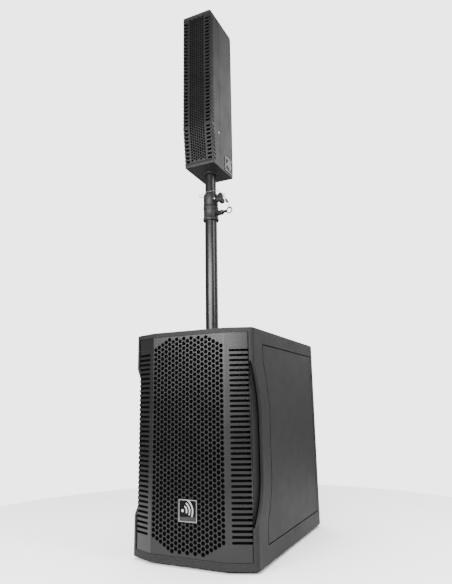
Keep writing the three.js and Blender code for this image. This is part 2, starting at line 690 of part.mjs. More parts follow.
// The steel cord that keeps the pin: it hooks through the ring, and goes once round the tube
// on the collar's top. Its two strands meet in a crimped sleeve.
function lanyardGeometry() {
  const route = [
    [74, 3.7, 995],
    [74, 1.9, 990.6],
    [74, -1.9, 990.6],
    [74.5, -3.8, 995],
    [75, -3.8, 1000],
    [72, -3.5, 1008],
    [67, -3.5, 1015.5],
    [62, -3.2, 1023],
    [55, -1, 1033],
    [50.5, 4, 1041],
    [45, 12, 1050],
    [34, 18, 1056],
    [16, 21, 1057],
    [-5, 21, 1056.5],
    [-19, 13, 1055.5],
    [-27, 1, 1053.5],
    [-32, -13, 1050],
    [-28, -26, 1048.5],
    [-18, -30, 1049.5],
    [-6, -26.5, 1053],
    [6, -23, 1055.5],
    [18, -17.5, 1057],
    [30, -12.5, 1057],
    [42, -9.5, 1052.5],
    [50, -8, 1044],
    [57, -7, 1032],
    [63, -6.7, 1022.5],
    [66, -6.5, 1018],
  ];
  const curve = new THREE.CatmullRomCurve3(route.map((point) => new THREE.Vector3(...point)));
  const section = new THREE.Shape().absarc(0, 0, LANYARD.cord, 0, 2 * Math.PI);
  const cord = new THREE.ExtrudeGeometry(section, { steps: 48, curveSegments: 3, extrudePath: curve });
  const sleeve = new THREE.CylinderGeometry(LANYARD.sleeve, LANYARD.sleeve, LANYARD.sleeveLength, 8);
  sleeve.rotateX(Math.PI / 2).rotateY(-LANYARD.sleeveLean).translate(67, -5, 1015.5);
  return join([cord, sleeve]);
}

function collarPieces() {
  addPiece(collarFrame, 'pole_collar', collarGeometry(), PLASTIC);
  addPiece(collarFrame, 'collar_bolt', boltGeometry(), BRIGHT, [0, 0, BOLT.z]);
  addPiece(collarFrame, 'clamp_knob', clampKnobGeometry(), PLASTIC, [0, 0, KNOB.z]);
  addPiece(collarFrame, 'lock_pin', pinGeometry(), TUBE_BLACK, [0, 0, PIN.z]);
  addPiece(collarFrame, 'lock_pin_ring', ringGeometry(), TUBE_BLACK);
  addPiece(collarFrame, 'pin_lanyard', lanyardGeometry(), BRIGHT);
}

// ---------- column ----------

// How far the column's front stands behind its upper part at a height z.
function columnRecess(z) {
  const fall = Math.max(0, COLUMN.kink - z) / (COLUMN.kink - COLUMN.bottom);
  return fall * COLUMN.recess;
}

// The column's side in (y, z): a straight upper front that leans back below the kink.
function columnSide(inset, back, from, to) {
  const front = (z) => -COLUMN.ahead + inset + columnRecess(z);
  return outline([
    [front(from), from],
    [back, from],
    [back, to],
    [front(to), to],
    [front(COLUMN.kink), COLUMN.kink],
  ]);
}

function endPlate(from, to) {
  const half = COLUMN.width / 2;
  const { edge } = END_PLATE;
  const front = -COLUMN.ahead + columnRecess(from);
  const shape = roundedOutline([
    [-half, front, END_PLATE.front],
    [half, front, END_PLATE.front],
    [half, COLUMN.behind, END_PLATE.rear],
    [-half, COLUMN.behind, END_PLATE.rear],
  ]);
  const geometry = new THREE.ExtrudeGeometry(shape, {
    depth: to - from - 2 * edge,
    bevelThickness: edge,
    bevelSize: edge,
    bevelOffset: -edge,
    bevelSegments: 2,
    curveSegments: 4,
  });
  return geometry.translate(0, 0, from + edge);
}

function columnCabinetGeometry() {
  const { bottom, top, plate, wall, behind } = COLUMN;
  const half = COLUMN.width / 2;
  const rebate = COVER.inset + COVER.sheet + GAP;
  const coverEnd = -COLUMN.ahead + COVER.depth;
  const middle = sideView(columnSide(rebate, behind, bottom + plate - 3, top - plate + 3), -half, half);
  const solid = join([middle, endPlate(bottom, bottom + plate), endPlate(top - plate, top)]);
  const room = sideView(
    columnSide(-20, behind - wall, bottom + plate, top - plate),
    -half + wall,
    half - wall,
  );
  const coverSeat = (side) => {
    const span = side > 0 ? [half - rebate, half + OVERSHOOT] : [-half - OVERSHOOT, rebate - half];
    return toSolid(sideView(columnSide(-20, coverEnd + GAP, bottom + plate, top - plate), ...span));
  };
  const connectorRows = [CONNECTOR.z - CONNECTOR.halfHeight, CONNECTOR.z + CONNECTOR.halfHeight];
  const mouthSide = columnSide(-20, -COLUMN.ahead + 40, bottom + plate, top - plate);
  const mouth = sideView(mouthSide, 6 - half, half - 6);
  return cut(solid, [
    toSolid(room),
    coverSeat(1),
    coverSeat(-1),
    toSolid(mouth),
    toSolid(turnedUp(rodProfile(SOCKET.outer + GAP, bottom - 1, bottom + plate + 1), 20)),
    blockCutter(-CONNECTOR.x, CONNECTOR.x, behind - wall - 1, behind + 1, ...connectorRows),
  ]);
}

function coverSlots() {
  const { upper, lower, pitch, height, inside, wrap, kinkGap } = COVER_SLOT;
  const outside = COLUMN.width / 2 + OVERSHOOT;
  const slots = [];
  const add = (z) => {
    const front = -COLUMN.ahead + COVER.inset + columnRecess(z);
    for (const [x0, x1] of [[inside, outside], [-outside, -inside]]) {
      slots.push(blockCutter(x0, x1, front - 20, front + wrap, z - height / 2, z + height / 2));
    }
  };
  for (let i = 0; i < upper; i += 1) add(COLUMN.kink + kinkGap / 2 + i * pitch);
  for (let i = 0; i < lower; i += 1) add(COLUMN.kink - kinkGap / 2 - i * pitch);
  return slots;
}

function columnCoverGeometry() {
  const half = COLUMN.width / 2 - COVER.inset;
  const from = COLUMN.bottom + COLUMN.plate + GAP;
  const to = COLUMN.top - COLUMN.plate - GAP;
  const end = -COLUMN.ahead + COVER.depth;
  const channel = sideView(columnSide(COVER.inset, end, from, to), -half, half);
  const innerSide = columnSide(COVER.inset + COVER.sheet, end + OVERSHOOT, from - 1, to + 1);
  const hollow = sideView(innerSide, COVER.sheet - half, half - COVER.sheet);
  return cut(channel, [toSolid(hollow), ...coverSlots()]);
}

const driverHeights = () => {
  const heights = [DRIVER.lowerZ];
  for (let i = 0; i < DRIVER.upper; i += 1) heights.push(DRIVER.upperFirst + i * DRIVER.upperPitch);
  return heights;
};

const lowerLean = Math.atan2(COLUMN.recess, COLUMN.kink - COLUMN.bottom);

// Where a driver's axis meets the baffle's front face.
function driverPlace(z) {
  return [0, -COLUMN.ahead + DRIVER.face + columnRecess(z), z];
}

function columnBaffleGeometry() {
  const { face, board } = DRIVER;
  const half = COLUMN.width / 2 - 6 - GAP;
  const from = COLUMN.bottom + COLUMN.plate + GAP;
  const to = COLUMN.top - COLUMN.plate - GAP;
  const at = (z, depth) => [-COLUMN.ahead + face + depth + columnRecess(z), z];
  const kink = COLUMN.kink;
  const back = [at(from, board), at(kink, board), at(to, board)];
  const shape = outline([at(from, 0), ...back, at(to, 0), at(kink, 0)]);
  const holes = driverHeights().map((z) => {
    const hole = turned(rodProfile(DRIVER.radius - 5, -15, 30), 14);
    if (z < kink) hole.rotateX(lowerLean);
    return toSolid(hole.translate(...driverPlace(z)));
  });
  return cut(sideView(shape, -half, half), holes);
}

// One small driver as bought: frame, cone and magnet in one closed body.
function driverGeometry(z) {
  const r = DRIVER.radius;
  const geometry = turned([
    [0, 6],
    [9, 8],
    [27, -2.6],
    [r, -2.6],
    [r, -GAP],
    [r - 5.6, -GAP],
    [16, 24],
    [16, 40],
    [0, 40],
  ], 14);
  if (z < COLUMN.kink) geometry.rotateX(lowerLean);
  return geometry.translate(...driverPlace(z));
}

function columnSocketGeometry() {
  const { outer, inner, depth, flange, proud, ceiling } = SOCKET;
  const bottom = COLUMN.bottom;
  return turnedUp([
    [inner, bottom - proud],
    [flange - 2, bottom - proud],
    [flange, bottom - GAP],
    [outer, bottom - GAP],
    [outer, bottom + depth + ceiling],
    [0, bottom + depth + ceiling],
    [0, bottom + depth],
    [inner, bottom + depth],
  ], 20);
}

function connectorPlateGeometry() {
  const { x, halfHeight, z, sheet } = CONNECTOR;
  const y = COLUMN.behind - COLUMN.wall;
  const plate = block(GAP - x, x - GAP, y, y + sheet, z - halfHeight + GAP, z + halfHeight - GAP);
  const hole = turned(rodProfile(12 + GAP, y - 1, y + sheet + 1), 14).translate(0, 0, z);
  return cut(plate, [toSolid(hole)]);
}

function columnBadgeGeometry() {
  const { front, rear, bottom, top, thickness } = COLUMN_BADGE;
  const back = COLUMN.width / 2 + GAP;
  return block(back, back + thickness, front, rear, bottom, top);
}

function columnPieces() {
  addPiece(column, 'column_cabinet', columnCabinetGeometry(), PAINT);
  addPiece(column, 'column_baffle', columnBaffleGeometry(), BOARD);
  addPiece(column, 'column_grille', columnCoverGeometry(), STEEL_BLACK);
  driverHeights().forEach((z, i) => addPiece(column, `column_driver_${i + 1}`, driverGeometry(z), PAPER));
  addPiece(column, 'column_pole_socket', columnSocketGeometry(), PLASTIC);
  addPiece(column, 'column_connector_plate', connectorPlateGeometry(), PLASTIC);
  const plateFace = COLUMN.behind - COLUMN.wall + CONNECTOR.sheet;
  addPiece(column, 'column_input_socket', turned(SOCKET_FACE, 14), PLASTIC, [0, plateFace, CONNECTOR.z]);
  addPiece(column, 'column_badge', columnBadgeGeometry(), BRIGHT);
  const screw = [[0, 0], [3.6, 0], [3.2, 1.3], [0, 1.6]];
  const screwX = COLUMN.width / 2 - COVER.inset + GAP;
  const screwY = -COLUMN.ahead + COVER.depth - COVER.screwBack;
  const screwAt = [screwX, screwY, COLUMN.bottom + COVER.screwRise];
  addPiece(column, 'grille_screw_right', turnedAcross(screw, 12), BRIGHT, screwAt);
  const mirrored = turnedAcross(screw, 12).rotateZ(Math.PI);
  addPiece(column, 'grille_screw_left', mirrored, BRIGHT, [-screwAt[0], screwAt[1], screwAt[2]]);
}

cabinetPieces();
feetPieces();
wooferPieces();
amplifierPieces();
tubePieces();
collarPieces();
columnPieces();

export default speaker;
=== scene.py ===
import json
import math

import bmesh
import bpy
from mathutils import Matrix, Vector

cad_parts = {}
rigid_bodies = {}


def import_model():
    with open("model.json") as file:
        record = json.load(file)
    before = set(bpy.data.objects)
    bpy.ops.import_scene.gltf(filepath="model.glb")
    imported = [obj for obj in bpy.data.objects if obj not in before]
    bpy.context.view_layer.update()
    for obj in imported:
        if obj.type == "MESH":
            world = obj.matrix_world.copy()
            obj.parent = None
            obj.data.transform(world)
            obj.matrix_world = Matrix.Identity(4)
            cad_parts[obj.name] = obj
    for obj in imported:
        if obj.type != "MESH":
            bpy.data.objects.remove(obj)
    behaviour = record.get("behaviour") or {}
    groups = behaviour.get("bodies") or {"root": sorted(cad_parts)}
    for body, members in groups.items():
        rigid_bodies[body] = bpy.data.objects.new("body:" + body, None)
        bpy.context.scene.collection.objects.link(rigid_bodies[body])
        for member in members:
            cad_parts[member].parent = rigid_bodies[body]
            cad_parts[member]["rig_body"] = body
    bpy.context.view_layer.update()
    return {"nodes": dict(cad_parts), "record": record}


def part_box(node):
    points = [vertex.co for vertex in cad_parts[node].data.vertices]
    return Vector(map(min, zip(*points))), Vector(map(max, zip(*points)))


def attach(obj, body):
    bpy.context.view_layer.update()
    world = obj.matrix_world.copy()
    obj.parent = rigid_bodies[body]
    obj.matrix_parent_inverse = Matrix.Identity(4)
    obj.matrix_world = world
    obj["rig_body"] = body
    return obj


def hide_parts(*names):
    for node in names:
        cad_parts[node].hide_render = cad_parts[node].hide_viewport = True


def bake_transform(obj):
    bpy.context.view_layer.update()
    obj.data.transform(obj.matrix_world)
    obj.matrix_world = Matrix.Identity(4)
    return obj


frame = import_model()
NODES = frame["nodes"]
MM = 0.001


def box_mm(node):
    lo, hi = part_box(node)
    return lo / MM, hi / MM


# ---------- camera ----------

CAMERA = {
    "at": (0.69027, -1.49717, 0.39933), "azimuth": 25.27, "pitch": 12.46, "roll": -0.92, "lens": 31.46
}


def added(name, data):
    """A new object in the scene."""
    made = bpy.data.objects.new(name, data)
    bpy.context.scene.collection.objects.link(made)
    return made


def make_camera():
    data = bpy.data.cameras.new("camera")
    data.sensor_width = 36
    data.lens = CAMERA["lens"]
    camera = added("camera", data)
    azimuth, pitch, roll = (math.radians(CAMERA[k]) for k in ("azimuth", "pitch", "roll"))
    level = Vector((math.cos(azimuth), math.sin(azimuth), 0))
    flat = math.cos(pitch)
    forward = Vector((-math.sin(azimuth) * flat, math.cos(azimuth) * flat, math.sin(pitch)))
    rise = level.cross(forward)
    right = level * math.cos(roll) + rise * math.sin(roll)
    up = rise * math.cos(roll) - level * math.sin(roll)
    turn = Matrix((right, up, -forward)).transposed()
    camera.matrix_world = Matrix.Translation(CAMERA["at"]) @ turn.to_4x4()
    bpy.context.scene.camera = camera


make_camera()


# ---------- materials ----------


SLOW_MM = 70
COAT_ROUGH = 0.12


def wired(tree, node, inputs):
    """Sets a node's inputs: an output of another node is linked, and any other value is written."""
    for key, value in inputs.items():
        if isinstance(value, bpy.types.NodeSocket):
            tree.links.new(value, node.inputs[key])
        else:
            node.inputs[key].default_value = value
    return node


def material(
    name, color, rough, metal=0.0, grain=1.0, bump=0.2, relief=0.1, tone=0.2, rough_spread=0.1,
    stretch=(1, 1, 1), coat=0.0, painted_glint=0.0, specular=0.5
):
    """A node material: fine grain as bump, slow changes of tone and roughness, and light flecks of painted
    glint where asked. Grain and relief in mm.
    """
    made = bpy.data.materials.new(name)
    made.use_nodes = True
    tree = made.node_tree

    def node(kind, inputs, **choices):
        fresh = tree.nodes.new("ShaderNode" + kind)
        for key, value in choices.items():
            setattr(fresh, key, value)
        return wired(tree, fresh, inputs).outputs

    def noise(size_mm, detail, vector):
        inputs = {"Scale": 1 / (size_mm * MM), "Detail": detail, "Vector": vector}
        return node("TexNoise", inputs)["Fac"]

    def spread(value, low, high, start=0.3, end=0.7):
        ends = {"From Min": start, "From Max": end, "To Min": low, "To Max": high, "Value": value}
        return node("MapRange", ends)["Result"]

    def lighter(change):
        return [min(1, c * (1 + change)) for c in color] + [1]

    def mix(factor, one, other):
        return node("Mix", {"A": one, "B": other, "Factor": factor}, data_type="RGBA")["Result"]

    place = tree.nodes.new("ShaderNodeTexCoord").outputs["Object"]
    scaled = node("Mapping", {"Scale": stretch, "Vector": place})["Vector"]
    fine, slow = noise(grain, 3, scaled), noise(SLOW_MM, 4, place)
    tint = mix(spread(slow, 0, 1), lighter(-tone), lighter(tone))
    # Light flecks in the base colour: painted glints standing in for the sparkle of textured paint.
    if painted_glint:
        tint = mix(spread(fine, 0, 1, 0.52, 0.75), tint, lighter(painted_glint))
    slow_rough = spread(slow, rough - rough_spread, rough + rough_spread)
    fine_rough = spread(fine, -rough_spread / 2, rough_spread / 2)
    roughness = node("Math", {0: slow_rough, 1: fine_rough}, operation="ADD")["Value"]
    normal = node("Bump", {"Strength": bump, "Distance": relief * MM, "Height": fine})["Normal"]
    wired(
        tree, tree.nodes["Principled BSDF"],
        {
            "Metallic": metal, "Specular IOR Level": specular, "Coat Weight": coat,
            "Coat Roughness": COAT_ROUGH, "Base Color": tint, "Roughness": roughness, "Normal": normal
        }
    )
    return made


CABINET = material(
    "textured_paint", (0.0075, 0.0075, 0.008), 0.62, grain=1.7, bump=0.8, relief=0.45, tone=0.08,
    rough_spread=0.04, painted_glint=2.0, specular=0.16
)
COLUMN_PAINT = material(
    "column_paint", (0.0095, 0.0095, 0.010), 0.5, grain=1.4, bump=0.7, relief=0.35, tone=0.08,
    rough_spread=0.04, painted_glint=1.8, specular=0.2
)
GRILLE = material(
    "powder_coat", (0.0062, 0.0062, 0.0065), 0.36, grain=0.7, bump=0.2, relief=0.06, tone=0.08,
    rough_spread=0.04, specular=0.25
)
COVER_STEEL = material(
    "cover_powder_coat", (0.0065, 0.0065, 0.0068), 0.48, grain=0.9, bump=0.35, relief=0.1, tone=0.08,
    rough_spread=0.04, specular=0.17
)
FOAM = material(
    "acoustic_foam", (0.0007, 0.0007, 0.0007), 0.95, grain=1.2, bump=1.0, relief=0.8, specular=0.02
)
TUBE = material(
    "gloss_tube", (0.005, 0.005, 0.0055), 0.32, grain=2.5, bump=0.02, relief=0.01, tone=0.05,
    rough_spread=0.03, coat=0.04, specular=0.2, stretch=(1, 1, 0.1)
)
PLASTIC = material(
    "moulded_plastic", (0.009, 0.009, 0.010), 0.5, grain=0.45, bump=0.3, relief=0.08, specular=0.2
)
RUBBER = material("rubber", (0.007, 0.007, 0.007), 0.8, grain=0.9, bump=0.35, relief=0.1, specular=0.3)
BADGE = material(
    "brushed_badge", (0.22, 0.22, 0.23), 0.4, metal=1, grain=0.35, bump=0.3, relief=0.03, tone=0.06,
    stretch=(0.08, 1, 1)
)
ENAMEL = material(
    "badge_field", (0.002, 0.002, 0.002), 0.4, grain=0.8, bump=0.05, relief=0.02, specular=0.05
)
GREY_ENAMEL = material(
    "badge_strip", (0.022, 0.022, 0.023), 0.45, grain=0.6, bump=0.08, relief=0.02, specular=0.1
)
EMBLEM = material("badge_emblem", (0.24, 0.24, 0.24), 0.5, grain=0.4, bump=0.08, relief=0.02, tone=0.05)
ZINC = material("zinc_steel", (0.5, 0.5, 0.51), 0.32, metal=1, grain=0.9, bump=0.12, relief=0.04, tone=0.1)
ANODISED = material(
    "black_anodised", (0.03, 0.03, 0.033), 0.45, metal=0.6, grain=0.5, bump=0.15, relief=0.04
)
PAPER = material(
    "pressed_paper", (0.005, 0.005, 0.005), 0.85, grain=1.5, bump=0.5, relief=0.2, specular=0.1
)
WOOD = material(
    "stained_ply", (0.0018, 0.0016, 0.0015), 0.8, grain=1.2, bump=0.4, relief=0.2, stretch=(0.1, 1, 1),
    specular=0.03
)
DRIVER_PAINT = material(
    "driver_paint", (0.0015, 0.0015, 0.0016), 0.6, grain=0.6, bump=0.3, relief=0.05, specular=0.04
)
FERRITE = material("ferrite", (0.04, 0.04, 0.043), 0.55, grain=0.6, bump=0.3, relief=0.05)
COPPER = material(
    "copper_winding", (0.5, 0.22, 0.11), 0.35, metal=1, grain=0.6, bump=0.5, relief=0.2, stretch=(1, 1, 8)
)
BOARD = material("circuit_board", (0.01, 0.07, 0.03), 0.4, grain=1.5, bump=0.2, relief=0.05)
MARKING = material("white_marking", (0.36, 0.36, 0.36), 0.5, grain=0.4, bump=0.1, relief=0.02, tone=0.05)
LENS = material("lamp_lens", (0.06, 0.22, 0.7), 0.2, grain=0.5, bump=0.05, relief=0.02, coat=0.5)
# Near-black painted shade, put on the walls of the grilles' holes and in the cabinet's grooves, where shade
# falls.
PAINTED_SHADE = material(
    "cut_edge", (0.0015, 0.0015, 0.0015), 0.8, grain=0.7, bump=0.2, relief=0.05, specular=0.03
)
CORD = material("coated_cord", (0.05, 0.05, 0.052), 0.4, metal=0.6, grain=0.5, bump=0.8, relief=0.15)
CONTACT = material("contact_metal", (0.45, 0.4, 0.3), 0.3, metal=1, grain=0.5, bump=0.1, relief=0.02)
CAPACITOR = material(
    "capacitor_sleeve", (0.02, 0.025, 0.05), 0.35, grain=0.8, bump=0.1, relief=0.03, coat=0.3
)

SLOT_LOOK = {
    "cabinet_paint": CABINET, "column_paint": COLUMN_PAINT, "baffle_board": WOOD, "grille_steel": GRILLE,
    "grille_foam": FOAM, "black_plastic": PLASTIC, "badge_metal": BADGE, "foot_rubber": RUBBER,
    "basket_steel": GRILLE, "magnet_ferrite": FERRITE, "bare_steel": ZINC, "cone_paper": PAPER,
    "copper_winding": COPPER, "panel_aluminium": ANODISED, "circuit_board": BOARD, "lamp_lens": LENS,
    "tube_steel": TUBE
}
SLOT_OF = {row["node"]: row["material_slot"] for row in frame["record"]["subparts"]}
for node, cad in NODES.items():
    cad.data.materials.clear()
    cad.data.materials.append(SLOT_LOOK[SLOT_OF[node]])

# ---------- mesh helpers, in mm ----------


def shade(mesh, angle=32):
    mesh.shade_smooth()
    mesh.set_sharp_from_angle(angle=math.radians(angle))


def piece(name, mesh, body, look, slot=None, stands_for=(), sharp=32):
    made = added(name, mesh)
    mesh.materials.clear()
    mesh.materials.append(look)
    shade(mesh, sharp)
    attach(made, body)
    if stands_for:
        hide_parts(*stands_for)
    return made


def detail(node, suffix, mesh, look, sharp=32):
    """A piece beside a CAD node, on its body and named after it."""
    return piece(node + suffix, mesh, NODES[node]["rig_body"], look, SLOT_OF[node], (), sharp)


def on_sub(name, meshes, look):
    """Several meshes as one piece fixed to the subwoofer."""
    return piece(name, joined(name, meshes), "subwoofer", look)


def stand_in(node, suffix, mesh, look=None, sharp=32):
    """A finer mesh shown in place of one CAD node, on the same body, with its material slot's look unless
    another look is given.
    """
    slot = SLOT_OF[node]
    return piece(node + suffix, mesh, NODES[node]["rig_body"], look or SLOT_LOOK[slot], slot, (node,), sharp)


def bevel(made, width, segments=2, angle=30):
    mod = made.modifiers.new("edge", "BEVEL")
    mod.width = width * MM
    mod.segments = segments
    mod.limit_method = "ANGLE"
    mod.angle_limit = math.radians(angle)
    even = made.modifiers.new("even", "WEIGHTED_NORMAL")
    even.keep_sharp = True
    even.weight = 100
    return made


def mesh_of(name, points, faces):
    mesh = bpy.data.meshes.new(name)
    mesh.from_pydata([Vector(p) * MM for p in points], [], faces)
    mesh.validate()
    return mesh


def closed_mesh(name, points, faces):
    """A closed mesh with its faces turned outwards."""
    mesh = mesh_of(name, points, faces)
    work = bmesh.new()
    work.from_mesh(mesh)
    bmesh.ops.recalc_face_normals(work, faces=work.faces)
    work.to_mesh(mesh)
    work.free()
    return mesh


def stacked(name, loops, closed=False):
    """Loops with as many points, each joined to the next, then capped or joined back to the first."""
    n, count = len(loops[0]), len(loops)
    faces = [] if closed else [tuple(range(n))[::-1], tuple(range((count - 1) * n, count * n))]
    for level in range(count if closed else count - 1):
        a, b = level * n, (level + 1) % count * n
        faces += [(a + i, a + (i + 1) % n, b + (i + 1) % n, b + i) for i in range(n)]
    return closed_mesh(name, [p for loop in loops for p in loop], faces)


def polar(radius, a, centre=(0, 0)):
    """The point at an angle in radians round a centre."""
    return centre[0] + radius * math.cos(a), centre[1] + radius * math.sin(a)


def whole_turn(count):
    """The angles of a whole turn in even steps, in radians."""
    return [2 * math.pi * k / count for k in range(count)]


def circle(radius, count=40, centre=(0, 0)):
    return [polar(radius, a, centre) for a in whole_turn(count)]


def arc(centre, radius, start_deg, end_deg, steps):
    """Points round an arc, from one angle to the other."""
    angles = [math.radians(start_deg + (end_deg - start_deg) * k / steps) for k in range(steps + 1)]
    return [polar(radius, a, centre) for a in angles]


def merged_copy(node):
    """The CAD node's own mesh with its flat faces made whole."""
    mesh = NODES[node].data.copy()
    work = bmesh.new()
    work.from_mesh(mesh)
    bmesh.ops.remove_doubles(work, verts=work.verts, dist=1e-6)
    bmesh.ops.dissolve_limit(work, angle_limit=math.radians(0.6), verts=work.verts, edges=work.edges)
    work.to_mesh(mesh)
    work.free()
    return mesh


def edged(node, width, segments=2, angle=25, look=None):
    """The CAD node's own mesh with its edges rounded."""
    return bevel(stand_in(node, "_edged", merged_copy(node), look), width, segments, angle)


def aim(points, origin, direction):
    """Points drawn about the z axis, moved to an origin with z along the direction."""
    turn = Vector(direction).to_track_quat("Z", "Y").to_matrix()
    return [turn @ Vector(p) + Vector(origin) for p in points]


def lathe(profile, segments=64, closed=False):
    """(radius, height) points turned about z. An open profile starts and ends on the axis."""
    points, rings = [], []
    for radius, height in profile:
        angles = whole_turn(segments) if radius else [0.0]
        rings.append(list(range(len(points), len(points) + len(angles))))
        points += [(*polar(radius, a), height) for a in angles]
    faces = []
    spans = list(zip(rings, rings[1:]))
    if closed:
        spans.append((rings[-1], rings[0]))
    for low, high in spans:
        if len(low) == 1 and len(high) == 1:
            continue
        for i in range(segments):
            j = (i + 1) % segments
            if len(low) == 1:
                faces.append((low[0], high[j], high[i]))
            elif len(high) == 1:
                faces.append((low[i], low[j], high[0]))
            else:
                faces.append((low[i], low[j], high[j], high[i]))
    return points, faces


def turned(name, profile, origin, direction=(0, 0, 1), segments=64, closed=False):
    points, faces = lathe(profile, segments, closed)
    return closed_mesh(name, aim(points, origin, direction), faces)


def plain_box(name, lo, hi):
    points = [(x, y, z) for x in (lo[0], hi[0]) for y in (lo[1], hi[1]) for z in (lo[2], hi[2])]
    faces = [(0, 1, 3, 2), (4, 6, 7, 5), (0, 4, 5, 1), (2, 3, 7, 6), (0, 2, 6, 4), (1, 5, 7, 3)]
    return closed_mesh(name, points, faces)


def evaluated(made):
    """A new mesh with the object's modifiers worked in."""
    graph = bpy.context.evaluated_depsgraph_get()
    return bpy.data.meshes.new_from_object(made.evaluated_get(graph))


def carved(mesh, cutters, operation="DIFFERENCE"):
    """The mesh with each cutter mesh taken away from it, or added."""
    body = added("carve_body", mesh)
    tools = [added("carve_tool", cutter) for cutter in cutters]
    for tool in tools:
        mod = body.modifiers.new("cut", "BOOLEAN")
        mod.operation, mod.solver, mod.object = operation, "EXACT", tool
    result = evaluated(body)
    for helper in [body, *tools]:
        bpy.data.objects.remove(helper)
    return result


# ---------- bent perforated sheets ----------


class Sheet:
    """Faces drawn on a flat pattern, s across and v up, in mm. Shared points are welded as they are drawn."""

    def __init__(self):
        self.index = {}
        self.points = []
        self.faces = []

    def point(self, s, v):
        key = (round(s, 3), round(v, 3))
        if key not in self.index:
            self.index[key] = len(self.points)
            self.points.append((s, v))
        return self.index[key]

    def face(self, outline, mirrored=True):
        for sign in (1, -1) if mirrored else (1,):
            ids = []
            for s, v in outline[::sign]:
                found = self.point(s * sign, v)
                if found not in ids:
                    ids.append(found)
            if len(ids) > 2:
                self.faces.append(ids)

    def bent(self, name, place):
        return mesh_of(name, [place(s, v) for s, v in self.points], self.faces)


def rounded_path(corners, radii, steps=5):
    """A path in plan with rounded corners, as (distance along it, x, y) samples."""
    corners = [Vector(c) for c in corners]
    line = [corners[0]]
    for before, here, after, radius in zip(corners, corners[1:], corners[2:], radii):
        back, on = (before - here).normalized(), (after - here).normalized()
        half = math.acos(max(-1, min(1, back.dot(on)))) / 2
        cut = radius / math.tan(half)
        centre = here + (back + on).normalized() * (radius / math.sin(half))
        start, end = here + back * cut - centre, here + on * cut - centre
        sweep = math.pi - 2 * half
        side = 1 if start.x * end.y - start.y * end.x > 0 else -1
        for k in range(steps + 1):
            a = side * sweep * k / steps
            c, s = math.cos(a), math.sin(a)
            line.append(centre + Vector((start.x * c - start.y * s, start.x * s + start.y * c)))
    line.append(corners[-1])
    samples, total = [], 0.0
    for i, p in enumerate(line):
        total += (p - line[i - 1]).length if i else 0
        samples.append((total, p.x, p.y))
    return samples


def along(samples, s):
    """(x, y) at the distance s along a sampled path, mirrored for a negative s."""
    sign = 1 if s >= 0 else -1
    s = abs(s)
    for (s0, x0, y0), (s1, x1, y1) in zip(samples, samples[1:]):
        if s <= s1 + 1e-9:
            t = (s - s0) / (s1 - s0) if s1 > s0 else 0
            return sign * (x0 + (x1 - x0) * t), y0 + (y1 - y0) * t
    return sign * samples[-1][1], samples[-1][2]


def s_at_x(samples, x):
    for (s0, x0, _), (s1, x1, _) in zip(samples, samples[1:]):
        if x0 <= x <= x1 and x1 > x0:
            return s0 + (s1 - s0) * (x - x0) / (x1 - x0)
    return samples[-1][0]


HOLE_SIDES = 16
SLOT_STEPS = 6
TINY, NEAR = 1e-6, 0.01
CELL = [(2, 0), (2, 1), (2, 2), (1, 2), (0, 2), (-1, 2), (-2, 2), (-2, 1)]
CELL += [(-a, -b) for a, b in CELL]


def slotted_sheet(name, spec, samples, place):
    """A sheet with staggered round holes in its middle and a row of long slots down each side."""
    sheet = Sheet()
    low, high, pitch, base = spec["low"], spec["high"], spec["pitch"], spec["base"]
    quarter = pitch / 4
    first = math.ceil((low - base) / quarter + TINY)
    last = math.floor((high - base) / quarter - TINY)
    rows = [low] + [base + k * quarter for k in range(first, last + 1)] + [high]

    def between(v0, v1):
        return [v0] + [r for r in rows if v0 + TINY < r < v1 - TINY] + [v1]

    def grid(across, spans):
        for r0, r1 in spans:
            for s0, s1 in zip(across, across[1:]):
                sheet.face([(s0, r0), (s1, r0), (s1, r1), (s0, r1)])

    half = spec["column"] / 2
    for centre_s, centres in spec["holes"]:
        quarters = [centre_s + k * half / 2 for k in (-2, -1, 0, 1, 2)]
        sides = (quarters[0], quarters[-1])
        mirrored = centre_s > 0
        for vc in centres:
            outer = [(centre_s + a * half / 2, vc + b * quarter) for a, b in CELL]
            hole = circle(spec["radius"], HOLE_SIDES, (centre_s, vc))
            for k in range(HOLE_SIDES):
                n = (k + 1) % HOLE_SIDES
                sheet.face([outer[k], outer[n], hole[n], hole[k]], mirrored)
        ends = [
            (low, centres[0] - pitch / 2, sides, quarters), (centres[-1] + pitch / 2, high, quarters, sides)
        ]
        for v0, v1, lower, upper in ends:
            if v1 - v0 < TINY:
                continue
            levels = between(v0, v1)
            outline = [(s, v0) for s in lower] + [(sides[1], r) for r in levels[1:-1]]
            outline += [(s, v1) for s in upper[::-1]] + [(sides[0], r) for r in levels[-2:0:-1]]
            sheet.face(outline, mirrored)

    edge, flat_from = spec["holes"][-1][0] + half, spec["flat_from"]
    radius = spec["slot"] / 2
    inner, outer, end = spec["slot_in"] + radius, spec["slot_out"] - radius, samples[-1][0]

    def with_bends(s0, s1):
        return [s0] + [s for s, _, _ in samples if s0 + NEAR < s < s1 - NEAR] + [s1]

    def bites(at, side, centres):
        line = []
        for c in centres:
            for k in range(SLOT_STEPS + 1):
                a = -math.pi / 2 + math.pi * k / SLOT_STEPS
                line.append((at + side * radius * math.cos(a), c + radius * math.sin(a)))
        return line

    grid(with_bends(edge, flat_from), list(zip(rows, rows[1:])))
    levels = [low] + [b for b in spec.get("breaks", []) if low < b < high] + [high]
    for v0, v1 in zip(levels, levels[1:]):
        inside = [c for c in sorted(spec["slots"]) if v0 < c < v1]
        left = [(flat_from, r) for r in between(v0, v1)]
        sheet.face([(inner, v0)] + bites(inner, -1, inside) + [(inner, v1)] + left[::-1])
        right = [(outer, v0)] + bites(outer, 1, inside) + [(outer, v1)]
        sheet.face([(end, v0), (end, v1)] + right[::-1])
        walls = [v0] + [c + side * radius for c in inside for side in (-1, 1)] + [v1]
        grid(with_bends(inner, outer), list(zip(walls[::2], walls[1::2])))
    return sheet.bent(name, place)


SHEET_SHARP_DEG = 28


